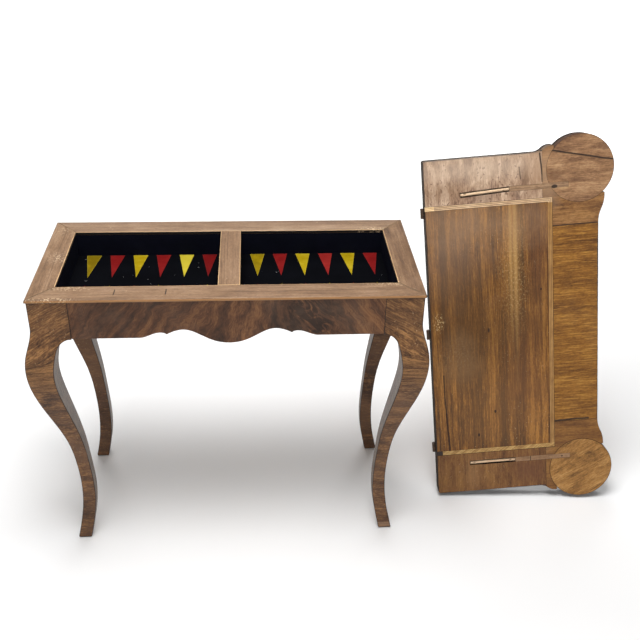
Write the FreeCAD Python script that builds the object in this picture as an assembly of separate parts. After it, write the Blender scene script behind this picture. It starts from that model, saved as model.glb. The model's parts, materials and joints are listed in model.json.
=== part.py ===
import FreeCAD, Part
import math
import os

Vector = FreeCAD.Vector
Rotation = FreeCAD.Rotation
Placement = FreeCAD.Placement

# Games table: a base with two lined wells, and a two-leaf folding top that lifts off.
# The top is taken off and stands on end beside the base, leaning back.
# Millimetres. X runs along the table, Y from its front to its back, Z up.

# Rim: a mitred frame with a bar across its middle
rim_length = 900.0
rim_depth = 412.0
rim_height = 735.0
rim_thickness = 8.0
end_rail_width = 58.0
long_rail_width = 63.0
divider_width = 52.0
rim_overhang = 3.0
rim_nosing = 3.0
nosing_limit_share = 0.45
inner_chamfer = 1.2
edge_slack_share = 0.01

# Legs: an S shape sawn in two directions, with an ear towards each apron
knee_swell = 20.0
ankle_tuck = 55.0
side_ankle_tuck = 33.0
knee_width = 63.0
ear_length = 90.0
ear_drop = 95.0
arm_clearance = 3.5
arm_ledge = 12.0
# height, knee swell, ankle tuck and width of the leg, from the foot to the knee
leg_shares = (
    (0.000, 0.00, 0.56, 0.54),
    (0.045, 0.00, 0.70, 0.53),
    (0.130, 0.00, 0.91, 0.53),
    (0.235, 0.00, 1.00, 0.51),
    (0.340, 0.00, 0.92, 0.51),
    (0.425, 0.00, 0.75, 0.57),
    (0.580, 0.00, 0.10, 0.82),
    (0.665, 0.58, 0.00, 0.93),
    (0.750, 1.00, 0.00, 1.00),
    (0.815, 0.80, 0.00, 1.06),
)
# height and swell where the outer face runs up from the knee
knee_top_shares = ((0.855, 0.36), (0.905, 0.00))
# reach and rise of the ear, between the knee and the end of the ear
ear_shares = ((0.24, 0.62), (0.52, 0.88))

# Aprons, tenoned into the ears
apron_thickness = 22.0
tenon_length = 30.0
tenon_thickness = 10.0
tenon_inset = 6.0
tenon_drop = 14.0
tenon_foot = 19.0
lobe_drop = 17.0
arch_rise = 20.0
cusp_rise = 8.0
shoulder_rise = 13.0
end_lobe_drop = 11.0
# place along half the apron, and rise, of the small outer scroll
scroll_shares = ((0.585, 0.00), (0.525, 0.30), (0.465, 0.92), (0.425, 0.96))
cusp_place_share = 0.40
# place along half the apron, and rise, of the arch, then the middle lobe
arch_shares = ((0.35, 0.82), (0.285, 1.00), (0.20, 0.42))
lobe_shares = ((0.10, 0.62), (0.00, 1.00))
end_lobe_share = 0.72

# Wells under the rim
well_depth = 66.0
felt_thickness = 1.5
wall_thickness = 8.0
floor_thickness = 9.0
point_count = 6
point_width = 37.0
point_end_margin = 6.0
point_shift = 5.0
point_tip_gap = 20.0
point_thickness = 0.8
point_margin = 3.0

# Pieces that carry the well floor
cleat_bearing = 16.5
block_bearing = 11.5
cleat_height = 15.0
cleat_clearance = 2.0
block_length = 60.0
block_place_share = 0.76
floor_screw_count = 5
floor_screw_head = 7.0
floor_screw_shank = 3.4
floor_screw_grip = 14.0
floor_screw_head_height = 2.4
floor_screw_spread_share = 0.84

# Folding top: two equal leaves
leaf_end_overhang = 16.0
leaf_side_overhang = 18.5
leaf_thickness = 20.0
leaf_gap = 0.5
heel_radius = 6.0
disc_radius = 87.0
disc_inset = 47.0
disc_notch_share = 0.77
shoulder_reach = 16.0
shoulder_flat = 5.0
end_ogee_length = 42.0
front_ogee_length = 72.0
ogee_turn_share = 0.5
end_border_width = 116.0
front_border_width = 119.0
corner_lap = 25.0

# Beads round the panel, on the underside of the lower leaf
bead_width = 12.0
bead_root = 1.0
reed_count = 3

# Guide slots with their keys, and the infill of the old slot ends
slot_start = 92.0
slot_length = 128.0
slot_margin = 30.0
slot_width = 13.0
slot_depth = 8.0
far_slot_slant = 3.0
infill_length = 152.0
key_side_gap = 2.5
key_clearance = 1.5
key_rise = 3.0
key_head_radius = 3.0
key_head_height = 0.6
key_head_place_share = 0.40

# Hinges along the back edges of the two leaves
hinge_margin = 6.0
hinge_length = 26.0
hinge_out = 4.0
knuckle_radius = 5.5
knuckle_gap = 0.4
knuckle_relief = 0.6
pin_radius = 2.0
pin_clearance = 0.05
plate_width = 32.0
plate_thickness = 1.8
screw_head_radius = 3.2
screw_shank_radius = 1.6
screw_head_depth = 1.6
screw_length = 12.0
# place of each screw across and along the plate
hinge_screw_shares = ((0.38, -0.30), (0.38, 0.30), (0.78, 0.00))

# Where the folded top stands
top_apart = 119.0
top_forward = 66.0
top_yaw = -3.5
top_lean = 15.0

# One overrun serves every cut
overrun = 5.0

leg_height = rim_height - rim_thickness
half_length = rim_length / 2
half_depth = rim_depth / 2
face_x = half_length - rim_overhang
face_y = half_depth - rim_overhang
ear_bottom = leg_height - ear_drop
well_half_depth = half_depth - long_rail_width
well_outer = half_length - end_rail_width
well_inner = divider_width / 2
felt_top = rim_height - well_depth
floor_top = felt_top - felt_thickness
floor_bottom = floor_top - floor_thickness
edge_slack = rim_thickness * edge_slack_share
wall_x = well_outer + felt_thickness + wall_thickness
wall_y = well_half_depth + felt_thickness + wall_thickness
leg_arm = min(face_x - wall_x, face_y - wall_y) - arm_clearance
tenon_height = ear_drop - tenon_drop - tenon_foot
point_pitch = (well_outer - well_inner - 2 * point_end_margin) / point_count
point_length = well_half_depth - point_margin - point_tip_gap
leaf_length = rim_length + 2 * leaf_end_overhang
leaf_width = rim_depth + 2 * leaf_side_overhang
top_thickness = 2 * leaf_thickness + leaf_gap
shoulder_far = disc_inset + disc_radius * disc_notch_share
shoulder_inset = shoulder_far + shoulder_flat
panel_width = leaf_width - front_border_width
corner_start = panel_width - corner_lap
corner_length = shoulder_inset + front_ogee_length
reed_radius = bead_width / reed_count / 2
bead_depth = reed_radius + bead_root
slot_inset = end_border_width - slot_margin
slot_end = slot_start + slot_length
infill_end = slot_end + infill_length
key_width = slot_width - 2 * key_side_gap
hinge_inset = end_border_width + hinge_margin + hinge_length / 2
top_place_x = half_length + top_apart
X_AXIS = Vector(1, 0, 0)
Y_AXIS = Vector(0, 1, 0)
Z_AXIS = Vector(0, 0, 1)
ORIGIN = Vector(0, 0, 0)


def block(x_low, x_high, y_low, y_high, z_low, z_high):
    """A box between two corners."""
    return Part.makeBox(x_high - x_low, y_high - y_low, z_high - z_low, Vector(x_low, y_low, z_low))


def rod(radius, start, end):
    """A round rod between two points."""
    run = end - start
    return Part.makeCylinder(radius, run.Length, start, run)


def polygon(points):
    """A flat face with straight sides."""
    return Part.Face(Part.makePolygon(list(points) + [points[0]]))


def spline(points):
    """A smooth edge through points."""
    curve = Part.BSplineCurve()
    curve.interpolate(points)
    return curve.toShape()


def line(start, end):
    """A straight edge."""
    return Part.LineSegment(start, end).toShape()


def face_of(edges):
    """A flat face inside edges that close up."""
    return Part.Face(Part.Wire(Part.__sortEdges__(edges)))


def mirrored(shape, normal):
    """A copy on the other side of the table's middle."""
    return shape.mirror(ORIGIN, normal)


def group(shapes):
    """Separate solids under one name."""
    return Part.makeCompound(shapes)


# Base


def leg_profile(tuck):
    """The sawn S shape: inset from the leg's outer face along X, height along Z."""
    outer = [Vector(tuck * t - knee_swell * s, 0, leg_height * h) for h, s, t, w in leg_shares]
    inner = [point + Vector(knee_width * row[3], 0, 0) for point, row in zip(outer, leg_shares)]
    outer += [Vector(-knee_swell * s, 0, leg_height * h) for h, s in knee_top_shares]
    ear_end = Vector(ear_length, 0, ear_bottom)
    reach = ear_end - inner[-1]
    inner += [inner[-1] + Vector(reach.x * along, 0, reach.z * up) for along, up in ear_shares]
    inner.append(ear_end)
    top_outer = Vector(0, 0, leg_height)
    top_inner = Vector(ear_length, 0, leg_height)
    return face_of([
        spline(outer),
        line(outer[-1], top_outer),
        line(top_outer, top_inner),
        line(top_inner, ear_end),
        spline(inner),
        line(inner[0], outer[0]),
    ])


def tenon(along_x):
    """The tenon of one apron in the front left leg, inset from the leg's outer faces."""
    ends = (ear_length - tenon_length, ear_length)
    sides = (tenon_inset, tenon_inset + tenon_thickness)
    heights = (leg_height - tenon_drop - tenon_height, leg_height - tenon_drop)
    if along_x:
        return block(*ends, *sides, *heights)
    return block(*sides, *ends, *heights)


def leg():
    """The front left leg: two sawn profiles crossed, with room for the well and two mortises."""
    span = ear_length + knee_swell
    seen_from_front = leg_profile(ankle_tuck)
    seen_from_front.translate(Vector(0, -span, 0))
    seen_from_side = leg_profile(side_ankle_tuck)
    seen_from_side.rotate(ORIGIN, Z_AXIS, 90)
    seen_from_side.translate(Vector(-span, 0, 0))
    solid = seen_from_front.extrude(Y_AXIS * (2 * span))
    solid = solid.common(seen_from_side.extrude(X_AXIS * (2 * span)))
    corner = block(leg_arm, span, leg_arm, span, ear_bottom - arm_ledge, leg_height + overrun)
    solid = solid.cut(corner).cut(tenon(True)).cut(tenon(False))
    solid.translate(Vector(-face_x, -face_y, 0))
    return solid.Solids[0]


def scroll_edges(half, at):
    """The shaped lower edge of a long apron, from one flat end to the other."""
    scroll = [(half * place, shoulder_rise * rise) for place, rise in scroll_shares]
    scroll.append((half * cusp_place_share, cusp_rise))
    middle = [(half * cusp_place_share, cusp_rise)]
    middle += [(half * place, arch_rise * rise) for place, rise in arch_shares]
    middle += [(half * place, -lobe_drop * drop) for place, drop in lobe_shares]
    middle += [(-place, rise) for place, rise in reversed(middle[:-1])]
    right = [at(place, rise) for place, rise in scroll]
    left = [at(-place, rise) for place, rise in scroll]
    flat_right = line(at(half, 0), right[0])
    flat_left = line(at(-half, 0), left[0])
    return [flat_right, spline(right), spline([at(*p) for p in middle]), spline(left), flat_left]


def lobe_edges(half, at):
    """The lower edge of an end apron: flat, with one shallow lobe."""
    start = at(half * end_lobe_share, 0)
    end = at(-half * end_lobe_share, 0)
    lobe = Part.Arc(start, at(0, -end_lobe_drop), end).toShape()
    return [line(at(half, 0), start), lobe, line(end, at(-half, 0))]


def apron(half, lower_edges):
    """An apron board in the XZ plane, outer face at Y zero, with a tenon at each end."""
    def at(place, rise):
        return Vector(place, 0, ear_bottom + rise)
    top = [at(-half, ear_drop), at(half, ear_drop)]
    edges = lower_edges(half, at)
    edges += [line(at(-half, 0), top[0]), line(*top), line(top[1], at(half, 0))]
    board = face_of(edges).extrude(Y_AXIS * apron_thickness)
    tongue = block(
        -half - tenon_length, half + tenon_length,
        tenon_inset, tenon_inset + tenon_thickness,
        leg_height - tenon_drop - tenon_height, leg_height - tenon_drop,
    )
    return board.fuse(tongue).removeSplitter().Solids[0]


def aprons():
    """The four aprons by name."""
    front = apron(face_x - ear_length, scroll_edges)
    front.translate(Vector(0, -face_y, 0))
    left = apron(face_y - ear_length, lobe_edges)
    left.rotate(ORIGIN, Z_AXIS, -90)
    left.translate(Vector(-face_x, 0, 0))
    return {
        "apron_front": front,
        "apron_back": mirrored(front, Y_AXIS),
        "apron_left": left,
        "apron_right": mirrored(left, X_AXIS),
    }


def level_edges(shape, keep):
    """The level edges whose two ends both pass a test."""
    found = []
    for edge in shape.Edges:
        start, end = [vertex.Point for vertex in edge.Vertexes]
        if abs(start.z - end.z) < Part.Precision.confusion() and keep(start) and keep(end):
            found.append(edge)
    return found


def rail(outer_half, width, mitre, offset):
    """A mitred rail along X: rounded outer edge, fine chamfer on the inner arris."""
    inner_half = outer_half - mitre
    board = polygon([
        Vector(-outer_half, -offset, leg_height),
        Vector(outer_half, -offset, leg_height),
        Vector(inner_half, width - offset, leg_height),
        Vector(-inner_half, width - offset, leg_height),
    ]).extrude(Z_AXIS * rim_thickness)
    nosing = min(rim_nosing, rim_thickness * nosing_limit_share)
    board = board.makeFillet(nosing, level_edges(board, lambda p: p.y < edge_slack - offset))
    inner_y = width - offset - edge_slack
    inner = level_edges(board, lambda p: p.y > inner_y and p.z > rim_height - edge_slack)
    return board.makeChamfer(inner_chamfer, inner)


def rim():
    """The four rim rails and the bar between the wells, by name."""
    front = rail(half_length, long_rail_width, end_rail_width, half_depth)
    left = rail(half_depth, end_rail_width, long_rail_width, half_length)
    left.rotate(ORIGIN, Z_AXIS, -90)
    divider = block(-well_inner, well_inner, -well_half_depth, well_half_depth, leg_height, rim_height)
    arrises = [
        edge for edge in level_edges(divider, lambda p: p.z > rim_height - edge_slack)
        if abs(edge.tangentAt(edge.FirstParameter).y) > abs(edge.tangentAt(edge.FirstParameter).x)
    ]
    return {
        "rim_front": front,
        "rim_back": mirrored(front, Y_AXIS),
        "rim_left": left,
        "rim_right": mirrored(left, X_AXIS),
        "rim_divider": divider.makeChamfer(inner_chamfer, arrises),
    }


def floor_screws():
    """Screws up through the well floor into the front and back well walls."""
    reach = well_outer * floor_screw_spread_share
    line_y = well_half_depth + felt_thickness + wall_thickness / 2
    screws = []
    for number in range(floor_screw_count):
        x = reach * (2 * number / (floor_screw_count - 1) - 1)
        for y in (-line_y, line_y):
            foot = Vector(x, y, floor_bottom)
            head = rod(floor_screw_head / 2, foot - Z_AXIS * floor_screw_head_height, foot)
            shank = rod(floor_screw_shank / 2, foot, foot + Z_AXIS * (floor_thickness + floor_screw_grip))
            screws.append(head.fuse(shank).removeSplitter().Solids[0])
    return screws


def wells():
    """The walls, partition, floor, felt and points of the two wells, by name."""
    screws = floor_screws()
    felt_x = well_outer + felt_thickness
    felt_y = well_half_depth + felt_thickness
    front = block(-wall_x, wall_x, -wall_y, -felt_y, floor_top, leg_height)
    back = mirrored(front, Y_AXIS)
    left = block(-wall_x, -felt_x, -felt_y, felt_y, floor_top, leg_height)
    board = block(-wall_x, wall_x, -wall_y, wall_y, floor_bottom, floor_top)
    for screw in screws:
        front = front.cut(screw)
        back = back.cut(screw)
        board = board.cut(screw)
    core = well_inner - felt_thickness
    nodes = {
        "well_wall_front": front,
        "well_wall_back": back,
        "well_wall_left": left,
        "well_wall_right": mirrored(left, X_AXIS),
        "well_partition": block(-core, core, -felt_y, felt_y, floor_top, leg_height),
        "well_floor": board,
        "floor_screws": group(screws),
    }
    felt = block(-felt_x, -core, -felt_y, felt_y, floor_top, felt_top)
    felt_long = block(-felt_x, -core, -felt_y, -well_half_depth, felt_top, leg_height)
    felt_outer = block(-felt_x, -well_outer, -well_half_depth, well_half_depth, felt_top, leg_height)
    felt_inner = block(-well_inner, -core, -well_half_depth, well_half_depth, felt_top, leg_height)
    walls = group([felt_long, mirrored(felt_long, Y_AXIS), felt_outer, felt_inner])
    nodes["felt_floor_left"] = felt
    nodes["felt_floor_right"] = mirrored(felt, X_AXIS)
    nodes["felt_walls_left"] = walls
    nodes["felt_walls_right"] = mirrored(walls, X_AXIS)
    return nodes


def point(x, side):
    """One backgammon point lying on the felt, its base at the front or back wall."""
    base_y = side * (well_half_depth - point_margin)
    tip_y = base_y - side * point_length
    outline = [
        Vector(x - point_width / 2, base_y, felt_top),
        Vector(x + point_width / 2, base_y, felt_top),
        Vector(x, tip_y, felt_top),
    ]
    return polygon(outline).extrude(Z_AXIS * point_thickness)


def points():
    """Yellow and red points, which alternate along a side and differ across the table."""
    yellow = []
    red = []
    middle = (well_outer + well_inner) / 2
    for well in (-1, 1):
        for number in range(point_count):
            x = well * middle + point_shift + point_pitch * (number - (point_count - 1) / 2)
            far, near = (yellow, red) if number % 2 == 0 else (red, yellow)
            far.append(point(x, 1))
            near.append(point(x, -1))
    return {"points_yellow": group(yellow), "points_red": group(red)}


def floor_carriers():
    """Cleats on the end aprons and glue blocks on the long aprons, under the well floor."""
    end_face = face_x - apron_thickness
    long_face = face_y - apron_thickness
    reach = face_y - ear_length - cleat_clearance
    low = floor_bottom - cleat_height
    cleat = block(-end_face, cleat_bearing - wall_x, -reach, reach, low, floor_bottom)
    middle = (face_x - ear_length) * block_place_share
    blocks = []
    for x in (-middle, middle):
        side = polygon([
            Vector(x - block_length / 2, -long_face, floor_bottom),
            Vector(x - block_length / 2, block_bearing - wall_y, floor_bottom),
            Vector(x - block_length / 2, -long_face, low),
        ])
        wedge = side.extrude(X_AXIS * block_length)
        blocks += [wedge, mirrored(wedge, Y_AXIS)]
    return {
        "floor_cleat_left": cleat,
        "floor_cleat_right": mirrored(cleat, X_AXIS),
        "glue_blocks": group(blocks),
    }


# Folding top, drawn flat: X from the hinge edge to the front edge, Y along the leaf,
# Z out of the underside of the lower leaf, whose underside is at Z zero.


def ogee(start, end, along):
    """An S of two arcs from a straight edge out to a shoulder, leaving and arriving along the edge."""
    middle = start + (end - start) * ogee_turn_share
    first = Part.Arc(start, bulge(start, middle, along), middle).toShape()
    second = Part.Arc(middle, bulge(end, middle, along * -1), end).toShape()
    return [first, second]


def bulge(start, end, tangent):
    """The middle of the arc that leaves start along a tangent and reaches end."""
    chord = end - start
    turn = 2 * math.atan2((tangent.cross(chord)).z, tangent.dot(chord))
    side = Vector(-tangent.y, tangent.x, 0)
    radius = chord.Length / (2 * math.sin(turn / 2))
    centre = start + side * radius
    spoke = start - centre
    half = turn / 2
    swung = Vector(
        spoke.x * math.cos(half) - spoke.y * math.sin(half),
        spoke.x * math.sin(half) + spoke.y * math.cos(half),
        0,
    )
    return centre + swung


def leaf_outline():
    """The leaf's edge: square at the hinge side, ogees and a round disc at each front corner."""
    disc = Vector(leaf_width - disc_inset, disc_inset, 0)
    end_start = Vector(leaf_width - shoulder_inset - end_ogee_length, 0, 0)
    end_top = Vector(leaf_width - shoulder_inset, -shoulder_reach, 0)
    end_tip = Vector(leaf_width - shoulder_far, -shoulder_reach, 0)
    front_start = Vector(leaf_width, shoulder_inset + front_ogee_length, 0)
    front_top = Vector(leaf_width + shoulder_reach, shoulder_inset, 0)
    front_tip = Vector(leaf_width + shoulder_reach, shoulder_far, 0)
    side = shoulder_far - disc_inset
    rise = math.sqrt(disc_radius ** 2 - side ** 2)
    end_notch = disc + Vector(-side, -rise, 0)
    front_notch = disc + Vector(rise, side, 0)
    outermost = disc + Vector(1, -1, 0).normalize() * disc_radius
    heel_start = Vector(0, heel_radius, 0)
    heel_end = Vector(heel_radius, 0, 0)
    heel_middle = Vector(1, 1, 0) * heel_radius - Vector(1, 1, 0).normalize() * heel_radius
    lower = [Part.Arc(heel_start, heel_middle, heel_end).toShape(), line(heel_end, end_start)]
    lower += ogee(end_start, end_top, X_AXIS)
    lower += [line(end_top, end_tip), line(end_tip, end_notch)]
    lower += [Part.Arc(end_notch, outermost, front_notch).toShape()]
    lower += [line(front_notch, front_tip), line(front_tip, front_top)]
    lower += ogee(front_start, front_top, Y_AXIS * -1)
    half_way = Vector(leaf_width, leaf_length / 2, 0)
    lower += [line(front_start, half_way), line(heel_start, Vector(0, leaf_length / 2, 0))]
    upper = [edge.mirror(Vector(0, leaf_length / 2, 0), Y_AXIS) for edge in lower]
    return face_of(lower + upper)


def leaf_pieces(top_z):
    """The boards of one leaf by short name: panel, borders, shaped corners and discs."""
    face = leaf_outline()
    face.translate(Z_AXIS * (top_z - leaf_thickness))
    blank = face.extrude(Z_AXIS * leaf_thickness)
    low = top_z - leaf_thickness
    far = leaf_width + disc_radius
    end = -disc_radius

    def board(x_low, x_high, y_low, y_high):
        return blank.common(block(x_low, x_high, y_low, y_high, low - overrun, top_z + overrun))

    centre = Vector(leaf_width - disc_inset, disc_inset, low)
    disc = Part.makeCylinder(disc_radius, leaf_thickness, centre)
    panel = board(0, panel_width, end_border_width, leaf_length - end_border_width)
    border = board(0, corner_start, end, end_border_width)
    corner = board(corner_start, far, end, corner_length).cut(panel).cut(disc)
    pieces = {
        "panel": panel,
        "front_border": board(panel_width, far, corner_length, leaf_length - corner_length),
        "right_border": border,
        "right_corner": corner,
        "right_disc": disc,
    }
    for name, shape in (("border", border), ("corner", corner), ("disc", disc)):
        pieces["left_" + name] = shape.mirror(Vector(0, leaf_length / 2, 0), Y_AXIS)
    return {name: shape.Solids[0] for name, shape in pieces.items()}


def bead(length):
    """A reeded strip along X, its face at Z zero, mitred at both ends towards Y."""
    valley = -reed_radius
    edges = []
    for number in range(reed_count):
        y = bead_width * number / reed_count
        start = Vector(0, y, valley)
        end = Vector(0, y + 2 * reed_radius, valley)
        edges.append(Part.Arc(start, Vector(0, y + reed_radius, 0), end).toShape())
    sides = [Vector(0, 0, valley), Vector(0, 0, -bead_depth)]
    sides += [Vector(0, bead_width, -bead_depth), Vector(0, bead_width, valley)]
    edges += [line(a, b) for a, b in zip(sides, sides[1:])]
    return face_of(edges).extrude(X_AXIS * length)


def bead_mitre(corner, along, across):
    """A wedge that cuts a strip's end at 45 degrees from its outer corner."""
    tall = Z_AXIS * (2 * bead_depth)
    size = 2 * bead_width
    foot = corner - Z_AXIS * (bead_depth + bead_depth / 2)
    return polygon([foot, foot + along * size + across * size, foot + along * size]).extrude(tall)


def beads():
    """The three strips on the panel's margin: both ends and the front."""
    end_y = end_border_width
    far_y = leaf_length - end_border_width
    back = X_AXIS * -1
    down = Y_AXIS * -1
    right = bead(panel_width)
    right.translate(Y_AXIS * end_y)
    front = bead(far_y - end_y)
    front.rotate(ORIGIN, Z_AXIS, 90)
    front.translate(Vector(panel_width, end_y, 0))
    right = right.cut(bead_mitre(Vector(panel_width, end_y, 0), Y_AXIS, back))
    front = front.cut(bead_mitre(Vector(panel_width, end_y, 0), back, Y_AXIS))
    front = front.cut(bead_mitre(Vector(panel_width, far_y, 0), back, down))
    left = right.mirror(Vector(0, leaf_length / 2, 0), Y_AXIS)
    return [strip.Solids[0] for strip in (right, left, front)]


def bead_channels():
    """The shallow channels that hold the strips."""
    end_y = end_border_width
    far_y = leaf_length - end_border_width
    low = -bead_depth
    return [
        block(0, panel_width, end_y, end_y + bead_width, low, overrun),
        block(0, panel_width, far_y - bead_width, far_y, low, overrun),
        block(panel_width - bead_width, panel_width, end_y, far_y, low, overrun),
    ]


def key(y):
    """The half-round key in a guide slot, with a small head near each end."""
    start = slot_start + key_clearance
    length = slot_length - 2 * key_clearance
    half = key_width / 2
    low = -slot_depth
    spring = low + key_rise
    side = face_of([
        line(Vector(start, y - half, low), Vector(start, y + half, low)),
        line(Vector(start, y + half, low), Vector(start, y + half, spring)),
        Part.Arc(Vector(start, y + half, spring), Vector(start, y, spring + half),
                 Vector(start, y - half, spring)).toShape(),
        line(Vector(start, y - half, spring), Vector(start, y - half, low)),
    ])
    solid = side.extrude(X_AXIS * length)
    middle = start + length / 2
    for way in (-1, 1):
        foot = Vector(middle + way * length * key_head_place_share, y, spring)
        solid = solid.fuse(rod(key_head_radius, foot, foot + Z_AXIS * (half + key_head_height)))
    return solid.removeSplitter().Solids[0]


def guides():
    """Per end of the lower leaf: the slot, its key, the infill and the whole groove to cut."""
    found = {}
    for name, y, slant in (("right", slot_inset, 0), ("left", leaf_length - slot_inset, far_slot_slant)):
        half = slot_width / 2
        infill = block(slot_end, infill_end, y - half, y + half, -slot_depth, 0)
        groove = block(slot_end, infill_end, y - half, y + half, -slot_depth, overrun)
        slot = block(slot_start, slot_end, y - half, y + half, -slot_depth, overrun)
        slot_key = key(y)
        corner = Vector(slot_end, y + half, 0)
        for shape in (slot, slot_key):
            shape.rotate(corner, Z_AXIS, slant)
        found[name] = (slot_key, infill, groove.fuse(slot).removeSplitter())
    return found


def hinge_places():
    """Where the three hinges sit along the leaf."""
    return (hinge_inset, leaf_length / 2, leaf_length - hinge_inset)


def axis_point(y):
    """A point on the fold line, midway between the two leaves and just outside their edges."""
    return Vector(-hinge_out, y, -leaf_thickness - leaf_gap / 2)


def knuckle_spans(y, own):
    """The stretches of a hinge's knuckle: the two outer ones, or the middle one."""
    third = hinge_length / 3
    trim = knuckle_gap / 2
    start = y - hinge_length / 2
    numbers = (0, 2) if own == "lower" else (1,)
    spans = []
    for number in numbers:
        low = start + number * third + (trim if number else 0)
        high = start + (number + 1) * third - (trim if number < 2 else 0)
        spans.append((low, high))
    return spans


def hinge_plate(y, own):
    """One leaf of a hinge: a plate let into the board, with its knuckles round the pin."""
    other = "upper" if own == "lower" else "lower"
    if own == "lower":
        low = -leaf_thickness
    else:
        low = -leaf_thickness - leaf_gap - plate_thickness
    half = hinge_length / 2
    plate = block(-hinge_out, plate_width, y - half, y + half, low, low + plate_thickness)
    for start, end in knuckle_spans(y, other):
        room_ends = (axis_point(start - knuckle_gap), axis_point(end + knuckle_gap))
        plate = plate.cut(rod(knuckle_radius + knuckle_relief, *room_ends))
    for start, end in knuckle_spans(y, own):
        plate = plate.fuse(rod(knuckle_radius, axis_point(start), axis_point(end)))
    bore = rod(pin_radius + pin_clearance, axis_point(y - hinge_length), axis_point(y + hinge_length))
    return plate.cut(bore).removeSplitter()


def hinge_recess(y, own):
    """The wood cut away for one hinge: the plate's bed and round room for the knuckle."""
    half = hinge_length / 2
    if own == "lower":
        bed = block(-overrun, plate_width, y - half, y + half, -leaf_thickness - overrun,
                    plate_thickness - leaf_thickness)
    else:
        face = -leaf_thickness - leaf_gap
        bed = block(-overrun, plate_width, y - half, y + half, face - plate_thickness, face + overrun)
    reach = half + knuckle_gap
    return bed.fuse(rod(knuckle_radius + knuckle_relief, axis_point(y - reach), axis_point(y + reach)))


def hinge_screws(y, own):
    """Countersunk screws through one hinge plate into the board."""
    way = 1 if own == "lower" else -1
    face = -leaf_thickness if own == "lower" else -leaf_thickness - leaf_gap
    up = Z_AXIS * way
    screws = []
    for across, along in hinge_screw_shares:
        foot = Vector(plate_width * across, y + hinge_length * along, face)
        head = Part.makeCone(screw_head_radius, screw_shank_radius, screw_head_depth, foot, up)
        shank = rod(screw_shank_radius, foot + up * screw_head_depth, foot + up * screw_length)
        screws.append(head.fuse(shank).removeSplitter().Solids[0])
    return screws


def hinged(panel, own):
    """A panel cut for its hinges, with the plates and screws that go in it."""
    plates = []
    screws = []
    for y in hinge_places():
        plate = hinge_plate(y, own)
        panel = panel.cut(hinge_recess(y, own))
        for screw in hinge_screws(y, own):
            plate = plate.cut(screw)
            panel = panel.cut(screw)
            screws.append(screw)
        plates.append(plate.Solids[0])
    return panel.Solids[0], group(plates), group(screws)


def folding_top():
    """Every piece of the folded top by name, drawn flat."""
    lower = leaf_pieces(0)
    upper = leaf_pieces(-leaf_thickness - leaf_gap)
    for channel in bead_channels():
        lower["panel"] = lower["panel"].cut(channel)
    nodes = {"panel_beads": group(beads())}
    for name, (slot_key, infill, groove) in guides().items():
        for piece in ("border", "corner", "disc"):
            lower[name + "_" + piece] = lower[name + "_" + piece].cut(groove).Solids[0]
        nodes["guide_key_" + name] = slot_key
        nodes["slot_infill_" + name] = infill
    half = hinge_length / 2
    pins = [rod(pin_radius, axis_point(y - half), axis_point(y + half)) for y in hinge_places()]
    nodes["hinge_pins"] = group(pins)
    for own, pieces in (("lower", lower), ("upper", upper)):
        pieces["panel"], plates, screws = hinged(pieces["panel"], own)
        nodes["hinge_plates_" + own] = plates
        nodes["hinge_screws_" + own] = screws
        for name, shape in pieces.items():
            nodes[own + "_leaf_" + name] = shape
    return nodes


def top_place():
    """How the folded top stands: on its heel and its lower disc, leaning back."""
    apart = Vector(leaf_width - disc_inset - heel_radius, disc_inset - heel_radius, 0)
    roll = math.asin((disc_radius - heel_radius) / apart.Length) - math.atan2(apart.y, apart.x)
    upright = Rotation(Z_AXIS, top_yaw) * Rotation(X_AXIS, 90 - top_lean)
    turn = upright * Rotation(Z_AXIS, math.degrees(roll))
    heel = turn.multVec(Vector(heel_radius, heel_radius, -top_thickness))
    drop = heel_radius * math.cos(math.radians(top_lean))
    return Placement(Vector(top_place_x, -top_forward, drop - heel.z), turn)


# Assembly

nodes = {}
front_left = leg()
nodes["leg_front_left"] = front_left
nodes["leg_front_right"] = mirrored(front_left, X_AXIS)
nodes["leg_back_left"] = mirrored(front_left, Y_AXIS)
nodes["leg_back_right"] = mirrored(nodes["leg_back_left"], X_AXIS)
nodes.update(aprons())
nodes.update(rim())
nodes.update(wells())
nodes.update(points())
nodes.update(floor_carriers())

place = top_place()
for name, shape in folding_top().items():
    shape.Placement = place.multiply(shape.Placement)
    nodes[name] = shape

# The origin is on the floor, under the middle of the base and the standing top together
whole = group(list(nodes.values())).optimalBoundingBox(False, False)
shift = Vector(-whole.Center.x, -whole.Center.y, -whole.ZMin)
os.makedirs("parts", exist_ok=True)
for name, shape in nodes.items():
    moved = shape.copy()
    moved.translate(shift)
    moved.exportStep("parts/" + name + ".step")

fold_point = place.multVec(axis_point(leaf_length / 2)) + shift
fold_axis = place.Rotation.multVec(Y_AXIS)
print("nodes", len(nodes))
print("size", round(whole.XLength, 2), round(whole.YLength, 2), round(whole.ZLength, 2))
print("base middle", [round(value, 3) for value in shift])
print("fold point", [round(value, 3) for value in fold_point])
print("fold axis", [round(value, 6) for value in fold_axis])
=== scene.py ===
import json
import logging
import math
from collections.abc import Callable
from dataclasses import dataclass, field, replace
from enum import Enum
from functools import partial

import bmesh
import bpy
from mathutils import Matrix, Vector

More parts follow.
